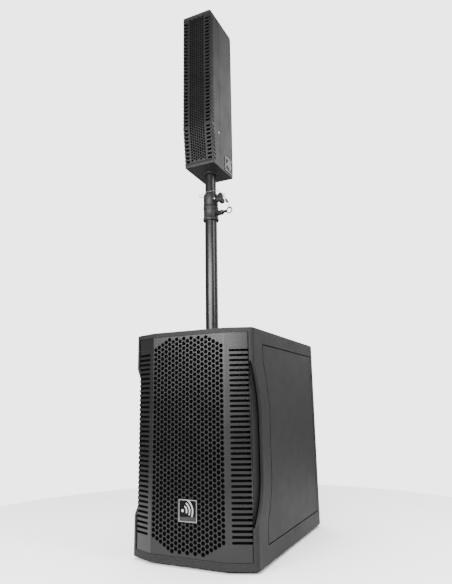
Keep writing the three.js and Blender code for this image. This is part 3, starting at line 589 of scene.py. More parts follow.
def thickened(made, sheet_mm):
    """A sheet given its thickness. The walls of its holes take a second, near-black look: painted shade."""
    made.data.materials.append(PAINTED_SHADE)
    mod = made.modifiers.new("sheet", "SOLIDIFY")
    mod.material_offset_rim = 1
    mod.thickness = sheet_mm * MM
    mod.offset = -1
    solid = evaluated(made)
    made.modifiers.clear()
    made.data = solid
    shade(solid, SHEET_SHARP_DEG)


SUB_FLAT = 109.5
SUB_TURN_BACK = 23.24
SUB_BENDS = (8, 2.2)
SUB_SHEET = 1.6
SUB_FOLD_END, SUB_CLEAR = 6, 0.4
SUB_HOLES = {"pitch": 13.0, "column": 11.26, "columns": 10, "full": 5, "radius": 5.5}
SUB_ROWS = {"even": (38.5, 571.5), "odd": (45.0, 578.0)}
SUB_SLOTS = {"first": 71, "pitch": 13, "count": 37, "height": 6.4, "inside": 122, "wrap": 4.7, "side": 10}


def sub_grille():
    lo, hi = box_mm("sub_grille")
    corner = Vector((hi.x, lo.y + SUB_TURN_BACK))
    samples = rounded_path([(0, lo.y), (SUB_FLAT, lo.y), corner, (hi.x, hi.y)], SUB_BENDS)
    pitch, column = SUB_HOLES["pitch"], SUB_HOLES["column"]
    holes = []
    for c in range(SUB_HOLES["columns"]):
        bottom, top = SUB_ROWS["odd" if c % 2 else "even"]
        drop = c - SUB_HOLES["full"]
        if drop > 0:
            bottom, top = (SUB_ROWS["odd"][0] + pitch / 2 * drop, SUB_ROWS["odd"][1] - pitch / 2 * drop)
        count = round((top - bottom) / pitch)
        holes.append((c * column, [top - pitch * k for k in range(count, -1, -1)]))
    spec = {
        "low": lo.z, "high": hi.z, "pitch": pitch, "base": SUB_ROWS["even"][0], "column": column,
        "radius": SUB_HOLES["radius"], "holes": holes, "slot": SUB_SLOTS["height"],
        "slots": [SUB_SLOTS["first"] + i * SUB_SLOTS["pitch"] for i in range(SUB_SLOTS["count"])],
        "slot_in": s_at_x(samples, SUB_SLOTS["inside"]),
        "slot_out": samples[-1][0] - SUB_SLOTS["side"] + SUB_SLOTS["wrap"],
        "flat_from": samples[SUB_FOLD_END][0] + SUB_CLEAR
    }
    mesh = slotted_sheet("sub_grille_sheet", spec, samples, lambda s, v: (*along(samples, s), v))
    thickened(stand_in("sub_grille", "_sheet", mesh), SUB_SHEET)


sub_grille()

COLUMN_KINK, COLUMN_LEAN, COLUMN_FOOT = 1251.5, 15.0, 1123.0
COLUMN_HOLES = {"pitch": 8.66, "column": 7.5, "columns": 4, "radius": 3.45, "margin": 6}
COLUMN_BEND = 3.0
COLUMN_FLAT_FROM = 28.5
COVER = {"sheet": 1.4, "wrap": 18, "inside": 31, "pitch": 12.6, "height": 6.6, "gap": 19.6, "end": 4.7}
COVER_SLOTS = {"above": 30, "below": 9}


def recess_at(z):
    """How far the column's front lies behind its upper part's front at a height."""
    return max(0.0, COLUMN_KINK - z) / (COLUMN_KINK - COLUMN_FOOT) * COLUMN_LEAN


def column_grille():
    lo, hi = box_mm("column_grille")
    depth = hi.y - lo.y
    samples = rounded_path([(0, 0), (hi.x, 0), (hi.x, depth)], [COLUMN_BEND], 6)
    pitch, column = COLUMN_HOLES["pitch"], COLUMN_HOLES["column"]

    def place(s, v):
        x, back = along(samples, s)
        front = lo.y + recess_at(v)
        if back <= COVER["wrap"]:
            return x, front + back, v
        t = (back - COVER["wrap"]) / (depth - COVER["wrap"])
        start = front + COVER["wrap"]
        return x, start + (hi.y - start) * t, v

    holes = []
    for c in range(COLUMN_HOLES["columns"]):
        shift = pitch / 2 if c % 2 else 0
        low_k = math.ceil((lo.z + COLUMN_HOLES["margin"] - COLUMN_KINK - shift) / pitch)
        high_k = math.floor((hi.z - COLUMN_HOLES["margin"] - COLUMN_KINK - shift) / pitch)
        holes.append((c * column, [COLUMN_KINK + shift + pitch * k for k in range(low_k, high_k + 1)]))
    upper = [COLUMN_KINK + COVER["gap"] / 2 + i * COVER["pitch"] for i in range(COVER_SLOTS["above"])]
    lower = [COLUMN_KINK - COVER["gap"] / 2 - i * COVER["pitch"] for i in range(COVER_SLOTS["below"])]
    side = s_at_x(samples, hi.x - COLUMN_BEND) + COVER["end"]
    spec = {
        "low": lo.z, "high": hi.z, "pitch": pitch, "base": COLUMN_KINK, "column": column,
        "radius": COLUMN_HOLES["radius"], "holes": holes, "slots": upper + lower, "slot": COVER["height"],
        "slot_in": COVER["inside"], "slot_out": side + COVER["wrap"] - COLUMN_BEND,
        "flat_from": COLUMN_FLAT_FROM, "breaks": [COLUMN_KINK]
    }
    mesh = slotted_sheet("column_grille_sheet", spec, samples, place)
    thickened(stand_in("column_grille", "_sheet", mesh, COVER_STEEL), COVER["sheet"])


column_grille()

# ---------- cabinets ----------

SUB_LOW, SUB_HIGH = box_mm("sub_cabinet")
SCOOP_LIP = {"width": 6.0, "segments": 5, "back": 80.0, "low": 100.0, "high": 515.0}
GROOVE_ZONE = {"skin": 6, "front": 86, "rear": 20, "low": 24, "high": 20}
TOUCH = 0.3


def on_scoop_lip(edge):
    """Whether the edge lies where the scoop's wall meets the cabinet's side."""
    if len(edge.link_faces) != 2:
        return False
    slants = sorted(abs(face.normal.x) for face in edge.link_faces)
    if slants[0] > 0.2 or slants[1] < 0.99:
        return False
    for vert in edge.verts:
        x, y, z = vert.co / MM
        if abs(abs(x) - SUB_HIGH.x) > TOUCH or y > SUB_LOW.y + SCOOP_LIP["back"]:
            return False
        if not SCOOP_LIP["low"] < z < SCOOP_LIP["high"]:
            return False
    return True


def by_groove(co):
    """Whether a point is in the skin of a side, between the scoop and the corners, where the grooves run."""
    x, y, z = co / MM
    zone = GROOVE_ZONE
    deep = abs(x) < SUB_HIGH.x - zone["skin"]
    between = SUB_LOW.y + zone["front"] < y < SUB_HIGH.y - zone["rear"]
    return not deep and between and SUB_LOW.z + zone["low"] < z < SUB_HIGH.z - zone["high"]


def sub_cabinet():
    """The CAD cabinet with soft edges, rounder ones on the scoops' lips, and grooves darkened with painted
    shade.
    """
    mesh = merged_copy("sub_cabinet")
    work = bmesh.new()
    work.from_mesh(mesh)
    work.normal_update()
    rounded = work.edges.layers.float.new("bevel_weight_edge")
    for edge in work.edges:
        bent = len(edge.link_faces) == 2 and edge.calc_face_angle() > math.radians(25)
        if bent and not all(by_groove(vert.co) for vert in edge.verts):
            edge[rounded] = 1.0
    lips = [edge for edge in work.edges if on_scoop_lip(edge)]
    width, segments = SCOOP_LIP["width"] * MM, SCOOP_LIP["segments"]
    bmesh.ops.bevel(
        work, geom=lips, offset=width, segments=segments, profile=0.5, affect="EDGES", clamp_overlap=True
    )
    work.to_mesh(mesh)
    work.free()
    made = stand_in("sub_cabinet", "_edged", mesh)
    bevel(made, 1.0).modifiers["edge"].limit_method = "WEIGHT"
    # The groove faces take the near-black painted shade.
    mesh.materials.append(PAINTED_SHADE)
    for face in mesh.polygons:
        inside = abs(face.center.x) / MM < SUB_HIGH.x - TOUCH
        if inside and all(by_groove(mesh.vertices[i].co) for i in face.vertices):
            face.material_index = 1


sub_cabinet()
edged("column_cabinet", 0.8, 2, 25)

# ---------- small shapes ----------


def joined(name, meshes):
    """Several meshes as one."""
    work = bmesh.new()
    for mesh in meshes:
        work.from_mesh(mesh)
    made = bpy.data.meshes.new(name)
    work.to_mesh(made)
    work.free()
    return made


class Face:
    """A plane drawn on: u across, v up and w out of it, in mm."""

    def __init__(self, origin, across, up):
        self.origin, self.u, self.v = Vector(origin), Vector(across), Vector(up)
        self.w = self.u.cross(self.v)

    def at(self, u, v, w):
        return self.origin + self.u * u + self.v * v + self.w * w

    def slab(self, name, outline, low, high):
        """A closed outline of (u, v) with a thickness from low to high."""
        return stacked(name, [[self.at(u, v, w) for u, v in outline] for w in (low, high)])

    def bar(self, name, lo, hi, low, high):
        """A slab with a straight-sided outline between two corners."""
        outline = [(lo[0], lo[1]), (hi[0], lo[1]), (hi[0], hi[1]), (lo[0], hi[1])]
        return self.slab(name, outline, low, high)

    def ring(self, name, outer, inner, levels):
        """A closed band between two outlines with as many points, from levels[0] to levels[1]."""
        low, high = levels
        loops = ((outer, low), (outer, high), (inner, high), (inner, low))
        return stacked(name, [[self.at(u, v, w) for u, v in loop] for loop, w in loops], True)


def rounded_rectangle(half_u, half_v, radius, steps=5, centre=(0, 0)):
    outline = []
    for quarter, (su, sv) in enumerate(((1, 1), (-1, 1), (-1, -1), (1, -1))):
        corner = (centre[0] + su * (half_u - radius), centre[1] + sv * (half_v - radius))
        outline += [polar(radius, math.pi / 2 * (quarter + k / steps), corner) for k in range(steps + 1)]
    return outline


def arc_band(centre, radius, width, start_deg, end_deg, steps=18):
    """The outline of a part of a ring, with blunt ends."""
    outer = arc(centre, radius + width / 2, start_deg, end_deg, steps)
    return outer + arc(centre, radius - width / 2, start_deg, end_deg, steps)[::-1]


def swept(name, path, radius, sides=10, closed=False):
    """A round bar of one radius along a path of points."""
    path = [Vector(p) for p in path]
    n = len(path)
    loops, normal = [], None
    for i, p in enumerate(path):
        before = path[i - 1] if (i or closed) else p
        after = path[(i + 1) % n] if (i < n - 1 or closed) else p
        tangent = (after - before).normalized()
        if normal is None:
            normal = tangent.orthogonal().normalized()
        normal = (normal - tangent * normal.dot(tangent)).normalized()
        binormal = tangent.cross(normal)
        rims = [normal * math.cos(a) + binormal * math.sin(a) for a in whole_turn(sides)]
        loops.append([p + rim * radius for rim in rims])
    return stacked(name, loops, closed)


def loft(name, outline, levels, origin, direction):
    """An outline about an axis, scaled at each (scale, height) level and closed at both ends."""
    loops = [[(x * scale, y * scale, height) for x, y in outline] for scale, height in levels]
    return stacked(name, [aim(loop, origin, direction) for loop in loops])


# ---------- badges ----------


UP = (0, 0, 1)
EMBLEM_ARC_DEG = (-26, 62)


def badge(node, face, size):
    """A framed plate with a plain emblem: a dot and three arcs, like waves from a speaker, over a strip."""
    half_u, half_v, thickness = size[0] / 2, size[1] / 2, size[2]
    rim = half_u * 0.085
    strip = half_v * 0.42
    outer = rounded_rectangle(half_u, half_v, rim * 0.6)
    inner = rounded_rectangle(half_u - rim, half_v - rim, rim * 0.3)
    made = stand_in(node, "_frame", face.ring("frame", outer, inner, (0, thickness)), BADGE)
    bevel(made, thickness * 0.12, 2, 40)
    bed, top = 0.62 * thickness, 0.84 * thickness
    field = rounded_rectangle(half_u - rim - 0.05, half_v - rim - 0.05, rim * 0.25)
    detail(node, "_field", face.slab("field", field, 0.02 * thickness, bed), ENAMEL)
    half = half_u - rim - 0.1
    low = -half_v + rim + 0.1
    band = [(-half, low), (half, low), (half, low + strip), (-half, low + strip * 0.8)]
    detail(node, "_strip", face.slab("strip", band, bed + 0.02, 0.72 * thickness), GREY_ENAMEL)
    centre = (-half * 0.62, low + strip + (half_v - rim - low - strip) * 0.34)
    dot = half * 0.5
    marks = [face.slab("dot", circle(dot * 0.3, 28, centre), bed + 0.02, top)]
    for k in (1, 2, 3):
        band = arc_band(centre, dot * (0.28 + 0.72 * k), dot * 0.3, *EMBLEM_ARC_DEG)
        marks.append(face.slab("arc", band, bed + 0.02, top))
    detail(node, "_emblem", joined("emblem", marks), EMBLEM)


def both_badges():
    """The subwoofer's badge faces the front, and the column's faces its right side."""
    lo, hi = box_mm("sub_badge")
    mid, size = (lo + hi) / 2, hi - lo
    badge("sub_badge", Face((mid.x, hi.y, mid.z), (1, 0, 0), UP), (size.x, size.z, size.y))
    lo, hi = box_mm("column_badge")
    mid, size = (lo + hi) / 2, hi - lo
    badge("column_badge", Face((lo.x, mid.y, mid.z), (0, 1, 0), UP), (size.y, size.z, size.x))


both_badges()

# ---------- pole ----------

POLE_Y = (box_mm("pole_lower_tube")[0].y + box_mm("pole_lower_tube")[1].y) / 2
AXIS = (0, POLE_Y, 0)
COLLAR_TURN = math.radians(-12)
BOLT_TURN = math.radians(-27)
ACROSS = Vector((math.cos(COLLAR_TURN), math.sin(COLLAR_TURN), 0))
BESIDE = Vector((-math.sin(COLLAR_TURN), math.cos(COLLAR_TURN), 0))
BOLT_WAY = Vector((math.cos(COLLAR_TURN + BOLT_TURN), math.sin(COLLAR_TURN + BOLT_TURN), 0))
LOWER, BORE, UPPER = 19.0, 17.8, 17.5
LOWER_TOP = box_mm("pole_lower_tube")[1].z
KNOB_Z, PIN_Z = 1032.0, 985.0
PIN_HOLE = 3.7
TUBE_WALL = 2
GAP = 0.3
CUP_SCREWS = {"circle": 33, "seat": 4.1, "depth": 1.4}


def on_collar(x, y, z):
    """A point given across the collar, beside it and up, in the frame's mm."""
    return Vector(AXIS) + ACROSS * x + BESIDE * y + Vector((0, 0, z))


def rod(radius, low, high, origin, direction, segments=48):
    return turned("rod", [(0, low), (radius, low), (radius, high), (0, high)], origin, direction, segments)


def above(height, profile):
    """A profile moved to a height."""
    return [(radius, height + z) for radius, z in profile]


def upright(node, profile, closed=False, segments=96, at=AXIS, suffix="_turned", sharp=32):
    """A turned shape about a vertical axis in place of a CAD node."""
    stand_in(node, suffix, turned(node, profile, at, segments=segments, closed=closed), None, sharp)


def tubes():
    lo, hi = box_mm("pole_lower_tube")
    profile = above(hi.z, [(LOWER, -0.4), (LOWER - 0.4, 0), (BORE + 0.2, 0), (BORE, -0.3)])
    profile = [(LOWER, lo.z)] + profile + [(BORE, lo.z)]
    mesh = turned("lower", profile, AXIS, segments=96, closed=True)
    mesh = carved(mesh, [rod(PIN_HOLE, 8, 40, on_collar(0, 0, PIN_Z), ACROSS)])
    stand_in("pole_lower_tube", "_turned", mesh, sharp=40)
    lo, hi = box_mm("pole_upper_tube")
    inner, end = UPPER - TUBE_WALL, UPPER - 0.5
    tube = above(lo.z, [(inner, 0), (end, 0), (UPPER, 0.5)])
    tube += above(hi.z, [(UPPER, -0.5), (end, 0), (inner, 0)])
    upright("pole_upper_tube", tube, True)
    lo, hi = box_mm("pole_foot_plug")
    foot = [(0, 0), (16.5, 0), (18.1, 0.6), (18.6, 1.4), (18.6, 3), (17.5, 3), (17.2, 8), (17.5, 8.4)]
    foot = above(lo.z, foot + [(17.5, 9.6), (17.2, 10)]) + above(hi.z, [(16.6, -0.6), (15.8, 0), (0, 0)])
    upright("pole_foot_plug", foot, segments=72)
    lo, hi = box_mm("pole_top_cap")
    head = [
        (15.2, -2.7), (17.2, -2.7), (17.4, -2.2), (17, -0.8), (15.6, -0.1), (9, 0), (8, -0.8), (0, -0.8)
    ]
    cap = above(lo.z, [(0, 0), (14.4, 0), (15.2, 0.8)]) + above(hi.z, head)
    upright("pole_top_cap", cap, segments=72)


def cup():
    lo, hi = box_mm("sub_pole_cup")
    top, seat = hi.z, hi.z - CUP_SCREWS["depth"]
    flange = [
        (21, -4.7), (43.6, -4.7), (44, -4.3), (44, -2.4), (43, -1), (41, -0.1), (40, 0), (24, 0),
        (23.4, -0.6), (22.2, -0.6), (21.6, 0), (20.4, 0), (19.3, -1)
    ]
    profile = above(lo.z, [(0, 0), (20.2, 0), (21, 0.8)]) + above(top, flange)
    mesh = turned("cup", profile + above(lo.z, [(19.3, 3.7), (0, 3.7)]), AXIS, segments=96)
    screws, seats = [], []
    for k in range(4):
        x, y = polar(CUP_SCREWS["circle"], math.radians(45 + 90 * k), (0, POLE_Y))
        seats.append(rod(CUP_SCREWS["seat"], seat, top + 2, (x, y, 0), UP, 32))
        screws.append(screw_mesh((x, y, seat), UP, 3.9, 1.7))
    stand_in("sub_pole_cup", "_turned", carved(mesh, seats))
    on_sub("cup_screws", screws, ZINC)


def screw_mesh(origin, direction, radius, height, arms=2, drive=0.55):
    """A domed screw head with a crossed or six-sided recess, standing on origin."""
    head = [
        (0, 0), (radius, 0), (radius, height * 0.35), (radius * 0.86, height * 0.8), (radius * 0.5, height),
        (0, height * 1.04)
    ]
    mesh = turned("screw", head, origin, direction, 32)
    reach, width = radius * drive, radius * 0.13
    if arms == 6:
        low, outlines = height * 0.35, [circle(reach, 6)]
    else:
        arm_sizes = ((reach, width), (width * 1.02, reach))
        low, outlines = height * 0.4, [[(-u, -v), (u, -v), (u, v), (-u, v)] for u, v in arm_sizes]
    levels = ((1, low), (1, height * 2))
    return carved(mesh, [loft("recess", outline, levels, origin, direction) for outline in outlines])


def collar():
    lo, hi = box_mm("pole_collar")
    bottom, top = lo.z, hi.z
    lip, radius, groove = 25.0, 23.0, 1011.0
    foot = [(0, 0), (lip - 1.8, 0), (lip - 0.5, 0.8), (lip, 2.4), (lip, 6.6), (lip - 0.6, 8)]
    foot += [(radius + 0.4, 8.6), (radius, 9.4)]
    belt = [
        (radius, -9.4), (radius + 1, -8.2), (radius + 1, -0.6), (radius + 0.6, 0), (radius - 2, 0),
        (radius - 2, 3.5), (radius - 0.4, 3.5), (radius, 4)
    ]
    head = [(radius, -2.4), (radius - 0.6, -0.8), (radius - 2, 0), (0, 0)]
    profile = above(bottom, foot) + above(groove, belt) + above(top, head)
    knob_at, pin_at = on_collar(0, 0, KNOB_Z), on_collar(0, 0, PIN_Z)
    knob_boss = turned("boss", [(0, 10), (9, 10), (9, 29.4), (8.4, 30), (0, 30)], knob_at, ACROSS, 48)
    bolt_boss = turned("boss", [(0, 10), (6.5, 10), (6.5, 25.5), (6, 26), (0, 26)], knob_at, BOLT_WAY, 40)
    body = carved(turned("collar", profile, AXIS, segments=96), [knob_boss, bolt_boss], "UNION")
    level = Face(on_collar(0, 0, 0), ACROSS, BESIDE)
    slit = level.bar("slit", (-30, -0.8), (-18, 0.8), groove + 3.5, top + 1)
    cutters = [
        rod(UPPER + GAP, bottom - 1, top + 1, AXIS, UP, 96),
        rod(LOWER + GAP, bottom - 1, LOWER_TOP + GAP, AXIS, UP, 96),
        rod(4 + GAP, 10, 40, knob_at, ACROSS, 40), rod(PIN_HOLE, 10, 40, pin_at, ACROSS, 40), slit
    ]
    stand_in("pole_collar", "_moulded", carved(body, cutters), sharp=40)
    head = screw_mesh(knob_at + BOLT_WAY * 26.3, BOLT_WAY, 3.4, 2.6, 6, 0.5)
    stand_in("collar_bolt", "_head", head)


def clamp_knob():
    lobes = [polar(15.2 + 4.3 * math.cos(3 * (a - math.pi / 2)), a) for a in whole_turn(96)]
    levels = [
        (0.80, 32), (0.90, 32.4), (0.97, 33.6), (1.0, 35.4), (1.0, 40.6), (0.97, 42.4), (0.90, 43.6),
        (0.78, 44), (0.4, 44), (0.36, 43.3), (0.02, 43.3)
    ]
    centre = on_collar(0, 0, KNOB_Z)
    parts = [loft("knob", lobes, levels, centre, ACROSS), rod(4, 18.5, 33, centre, ACROSS, 32)]
    stand_in("clamp_knob", "_moulded", joined("clamp_knob", parts), sharp=45)


def lock_pin():
    profile = [(0, 18), (2.2, 18), (3.0, 18.5), (3.4, 19.4), (3.4, 26), (7.1, 26), (7.6, 26.6), (8, 29)]
    for start in range(31, 46, 3):
        profile += [(8, start), (7.5, start + 0.6), (7.5, start + 1.2), (8, start + 1.8)]
    profile += [
        (8, 46), (7.4, 47.4), (6.4, 48), (4.4, 49), (4.2, 49.6), (4.2, 60), (3.6, 60.8), (2.4, 61), (0, 61)
    ]
    stand_in("lock_pin", "_turned", turned("pin", profile, on_collar(0, 0, PIN_Z), ACROSS, 56))
    lo, hi = box_mm("lock_pin_ring")
    wire = 1.8
    radius = (hi.z - lo.z) / 2 - wire
    centre = on_collar(61 + GAP + wire + radius, 0, (lo.z + hi.z) / 2)
    loop = [centre + ACROSS * x + Vector((0, 0, z)) for x, z in circle(radius, 64)]
    stand_in("lock_pin_ring", "_bent", swept("ring", loop, wire, 16, closed=True))


LANYARD = (
    (74, 3.7, 995), (74, 1.9, 990.6), (74, -1.9, 990.6), (74.5, -3.8, 995), (75, -3.8, 1000),
    (72, -3.5, 1008), (67, -3.5, 1015.5), (62, -3.2, 1023), (55, -1, 1033), (50.5, 4, 1041), (45, 12, 1050),
    (34, 18, 1056), (16, 21, 1057), (-5, 21, 1056.5), (-19, 13, 1055.5), (-27, 1, 1053.5), (-32, -13, 1050),
    (-28, -26, 1048.5), (-18, -30, 1049.5), (-6, -26.5, 1053), (6, -23, 1055.5), (18, -17.5, 1057),
    (30, -12.5, 1057), (42, -9.5, 1052.5), (50, -8, 1044), (57, -7, 1032), (63, -6.7, 1022.5),
    (66, -6.5, 1018)
)


def smooth_path(points, steps=5):
    """A Catmull-Rom curve through the points."""
    points = [Vector(p) for p in points]
    path = []
    for p0, p1, p2, p3 in zip([points[0]] + points, points, points[1:], points[2:] + [points[-1]]):
        bend, twist = 2 * p0 - 5 * p1 + 4 * p2 - p3, 3 * p1 - 3 * p2 + p3 - p0
        for k in range(steps):
            t = k / steps
            path.append(0.5 * (2 * p1 + (p2 - p0) * t + bend * t**2 + twist * t**3))
    return path + [points[-1]]


CORD_RADIUS = 0.9
SLEEVE = {"at": (67, -5, 1015.5), "lean": 0.59}


def lanyard():
    """The cord with its crimped sleeve, shown in place of the CAD lanyard."""
    cord = swept("cord", [on_collar(*p) for p in smooth_path(LANYARD)], CORD_RADIUS, 8)
    way = ACROSS * -math.sin(SLEEVE["lean"]) + Vector((0, 0, math.cos(SLEEVE["lean"])))
    sleeve = [(0, -6), (3.4, -6), (4, -5.2), (4, 5.2), (3.4, 6), (0, 6)]
    crimp = turned("sleeve", sleeve, on_collar(*SLEEVE["at"]), way, 32)
    made = added("pin_lanyard_cord", joined("pin_lanyard_cord", [cord, crimp]))
    made.data.materials.append(CORD)
    shade(made.data)
    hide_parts("pin_lanyard")
    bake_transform(made)


tubes()
cup()
collar()
clamp_knob()
lock_pin()
lanyard()

# ---------- column fittings ----------


def column_socket():
    lo, hi = box_mm("column_pole_socket")
    flange = above(lo.z, [(18, 0.8), (18.8, 0), (24.6, 0), (26.2, 0.7), (27, 2.7), (21, 2.7)])
    cap = above(hi.z, [(21, -0.8), (20.2, 0), (0, 0), (0, -5), (18, -5)])
    upright("column_pole_socket", flange + cap, True, sharp=40)


def grille_screws():
    for side, name in ((1, "right"), (-1, "left")):
        node = "grille_screw_" + name
        lo, hi = box_mm(node)
        origin = (lo.x if side > 0 else hi.x, (lo.y + hi.y) / 2, (lo.z + hi.z) / 2)
        stand_in(node, "_head", screw_mesh(origin, (side, 0, 0), (hi.z - lo.z) / 2, 1.5, 6, 0.5))


column_socket()
grille_screws()

# ---------- feet ----------


def feet():
    for place in ("front_left", "front_right", "rear_left", "rear_right"):
        node = "foot_" + place
        lo, hi = box_mm(node)
        profile = [
            (0, 2.2), (4.6, 2.2), (5.2, 1.6), (5.6, 0.3), (6.2, 0), (14.0, 0), (14.8, 0.3), (15.2, 1.0),
            (15.9, 2.6), (15.7, 2.9), (15.8, 3.3), (16.2, 3.6), (17, hi.z), (0, hi.z)
        ]
        centre = ((lo.x + hi.x) / 2, (lo.y + hi.y) / 2, 0)
        upright(node, profile, segments=64, at=centre, suffix="_moulded")


feet()

# ---------- plain boards and boxes ----------

SOFT_EDGES = {
    "sub_baffle": (0.8, 2), "grille_foam": (1.2, 2), "column_baffle": (0.5, 2), "amp_panel": (0.5, 2),
    "amp_heatsink": (0.4, 2), "amp_back_box": (0.6, 2), "amp_board": (0.2, 2),
    "power_switch_frame": (0.6, 3), "power_rocker": (0.7, 3), "column_connector_plate": (0.5, 2)
}
for node, (width, segments) in SOFT_EDGES.items():
    edged(node, width, segments)

# ---------- woofer ----------

BACK = (0, 1, 0)


def middle_of(node):
    lo, hi = box_mm(node)
    return (lo + hi) / 2


BAFFLE_FRONT = box_mm("sub_baffle")[0].y
WOOFER_AT = (0, BAFFLE_FRONT, middle_of("woofer_basket").z)


def spun(node, profile, segments=96, closed=False, at=WOOFER_AT, cutters=(), suffix="_turned"):
    """A shape turned about an axis that runs to the rear, in place of a CAD node."""
    mesh = turned(node, profile, at, BACK, segments, closed)
    return stand_in(node, suffix, carved(mesh, cutters) if cutters else mesh, sharp=40)


BASKET = {"windows": 6, "bolts": 8, "bolt_circle": 147.5, "bolt_hole": 2.8}


def basket():
    """A pressed frame with windows between its spokes, and bolt holes round its flange."""
    outer = [
        (156, -5), (156, -0.9), (155.4, -0.3), (139.6, -0.3), (138.4, 1.2), (84, 84.5), (82.3, 88),
        (82, 91.6)
    ]
    inner = [(42.4, 92), (42, 91.6), (42, 88), (77.6, 88), (79, 87), (132, 4.4), (132, -5.3), (155.6, -5.3)]
    window = [(-44, 13), (44, 13), (48, 18), (30, 70), (26, 74), (-26, 74), (-30, 70), (-48, 18)]
    cutters = []
    for k in range(BASKET["windows"]):
        x, z = polar(1, math.pi / 3 * (k + 0.5))
        wall = Face(WOOFER_AT, Vector((x, 0, z)).cross(Vector(BACK)), BACK)
        cutters.append(wall.slab("window", window, -160, -60))
    for k in range(BASKET["bolts"]):
        x, z = polar(BASKET["bolt_circle"], math.pi / 4 * (k + 0.5))
        cutters.append(rod(BASKET["bolt_hole"], -9, 3, Vector(WOOFER_AT) + Vector((x, 0, z)), BACK, 20))
    spun("woofer_basket", outer + inner, 120, True, cutters=cutters, suffix="_pressed")


def motor():
    magnet = [
        (41.3, 92.3), (77, 92.3), (78, 93.3), (78, 120), (77, 121), (41.3, 121), (40.5, 120.2), (40.5, 93.1)
    ]
    spun("woofer_magnet", magnet, closed=True)
    yoke = [
        (11, 92), (35.6, 92), (36.4, 92.8), (36.4, 121.3), (69, 121.3), (70, 122.3), (70, 127.6),
        (68.6, 129), (60, 129), (59, 128.2), (44, 128.2), (43, 129), (13, 129), (11, 127)
    ]
    spun("woofer_yoke", yoke, closed=True)
    coil = [(37.2, 58), (38.0, 58), (38.0, 96)]
    for k in range(16):
        coil += [(38.4, 96.3 + k), (38.15, 96.9 + k)]
    spun("woofer_voice_coil", coil + [(38, 112), (37.2, 112)], closed=True)


def soft_parts():
    """The surround with its roll, the ribbed spider, the cone with its ribs, and the dust cap."""
    roll = [(118.5, 0.5), (119.2, 0.2)] + arc((125, -0.6), 5.2, 180, 360, 14) + [(130.8, 0.2), (131.5, 0.5)]
    under = [(130.2, 1)] + arc((125, -0.2), 3.8, 360, 180, 14) + [(119.8, 1)]
    spun("woofer_surround", roll + under, 120, True)
    waves, steps = 7, 64
    turns = [k / steps for k in range(steps + 1)]
    spider = [(40.2 + 43.8 * t, 75.5 + 0.5 * math.cos(t * 2 * math.pi * waves)) for t in turns]
    spun("woofer_spider", spider + [(r, h + 0.35) for r, h in spider[::-1]], closed=True)
    cone, ribs, steps = [(112, 0), (117.4, 0), (118, 0.6)], 4, 48
    for t in (k / steps for k in range(steps + 1)):
        rib = 0.5 * max(0.0, math.cos(t * 2 * math.pi * ribs)) ** 6
        cone.append((118 - 78.4 * t, 2.5 + 55 * t**0.94 + rib))
    spun("woofer_cone", cone + [(39.3, 57), (40.4, 55.8)], 120, True)
    cap = [
        (0, 37.1), (14, 37.8), (26, 40.1), (36, 44.6), (42, 48.6), (45, 51), (44.4, 52.1), (35, 45.7),
        (25.4, 41.4), (13.6, 39.1), (0, 38.4)
    ]
    spun("woofer_dust_cap", cap)


basket()
motor()
soft_parts()


def ports():
    for node in ("port_left", "port_right"):
        mid = middle_of(node)
        flare = [(38, 188), (38, 14)] + arc((52, 14), 14, 180, 236, 8)[1:]
        tube = [
            (44.4, -3), (47.4, -3.4), (48, -2.6), (48, -0.9), (47.4, -0.3), (41.4, -0.3), (41, 0.3),
            (41, 189.4), (40.4, 190), (38.6, 190)
        ]
        spun(node, tube + flare, 72, True, (mid.x, BAFFLE_FRONT, mid.z))


ports()

# ---------- column drivers ----------

COLUMN_FRONT = box_mm("column_cabinet")[0].y
DRIVER_FACE = 12.0
LOWER_LEAN = math.atan2(COLUMN_LEAN, COLUMN_KINK - COLUMN_FOOT)


def small_driver(node):
    z = middle_of(node).z
    at = (0, COLUMN_FRONT + DRIVER_FACE + recess_at(z), z)
    way = (0, math.cos(LOWER_LEAN), math.sin(LOWER_LEAN)) if z < COLUMN_KINK else BACK
    flange = [
        (30.6, -2.6), (35.4, -2.6), (36, -2), (36, -0.3), (30.6, -0.3), (16.2, 23.2), (15, 22), (28.6, -0.6)
    ]
    stand_in(node, "_frame", turned("frame", flange, at, way, 72, True), DRIVER_PAINT, 40)
    roll = [(25.8, -0.9)] + arc((28.2, -1.0), 2.3, 180, 350, 8) + [(30.4, -0.6), (28.2, -0.5)]
    detail(node, "_surround", turned("roll", roll, at, way, 64, True), DRIVER_PAINT)
    cone = [
        (26.2, -1.1), (9.2, 8.6), (8.4, 7.6), (6, 6.4), (3, 5.9), (0, 5.8), (0, 6.6), (3, 6.8), (8.6, 9.6),
        (26.2, -0.3)
    ]
    detail(node, "_cone", turned("cone", cone, at, way, 64), DRIVER_PAINT)
    magnet = [
        (0, 23.6), (15.4, 23.6), (16, 24.2), (16, 31), (15.6, 31.4), (16, 31.8), (16, 39.2), (15.2, 40),
        (0, 40)
    ]
    detail(node, "_magnet", turned("magnet", magnet, at, way, 48), FERRITE)


for number in range(1, 7):
    small_driver(f"column_driver_{number}")

# ---------- sockets and controls ----------

PANEL_FACE = box_mm("amp_panel")[1].y
PANEL_TURN = {"across": (-1, 0, 0), "up": (0, 0, 1)}


def panel_place(node, y=PANEL_FACE):
    """The point of a face where a panel fitting's axis crosses it, and that face to draw on."""
    mid = middle_of(node)
    at = (mid.x, y, mid.z)
    return at, Face(at, **PANEL_TURN)


def ring_of(at, radius, angles):
    """Points round a fitting's axis."""
    x, y, z = at
    return [(u, y, v) for u, v in (polar(radius, math.radians(deg), (x, z)) for deg in angles)]


SHELL = [
    (0, -20), (11.4, -20), (12, -19.4), (12, 0.3), (14.2, 0.3), (14.8, 0.6), (15, 1.2), (15, 1.8),
    (14.4, 2.4)
]
CONTACTS_DEG = (90, 210, 330)


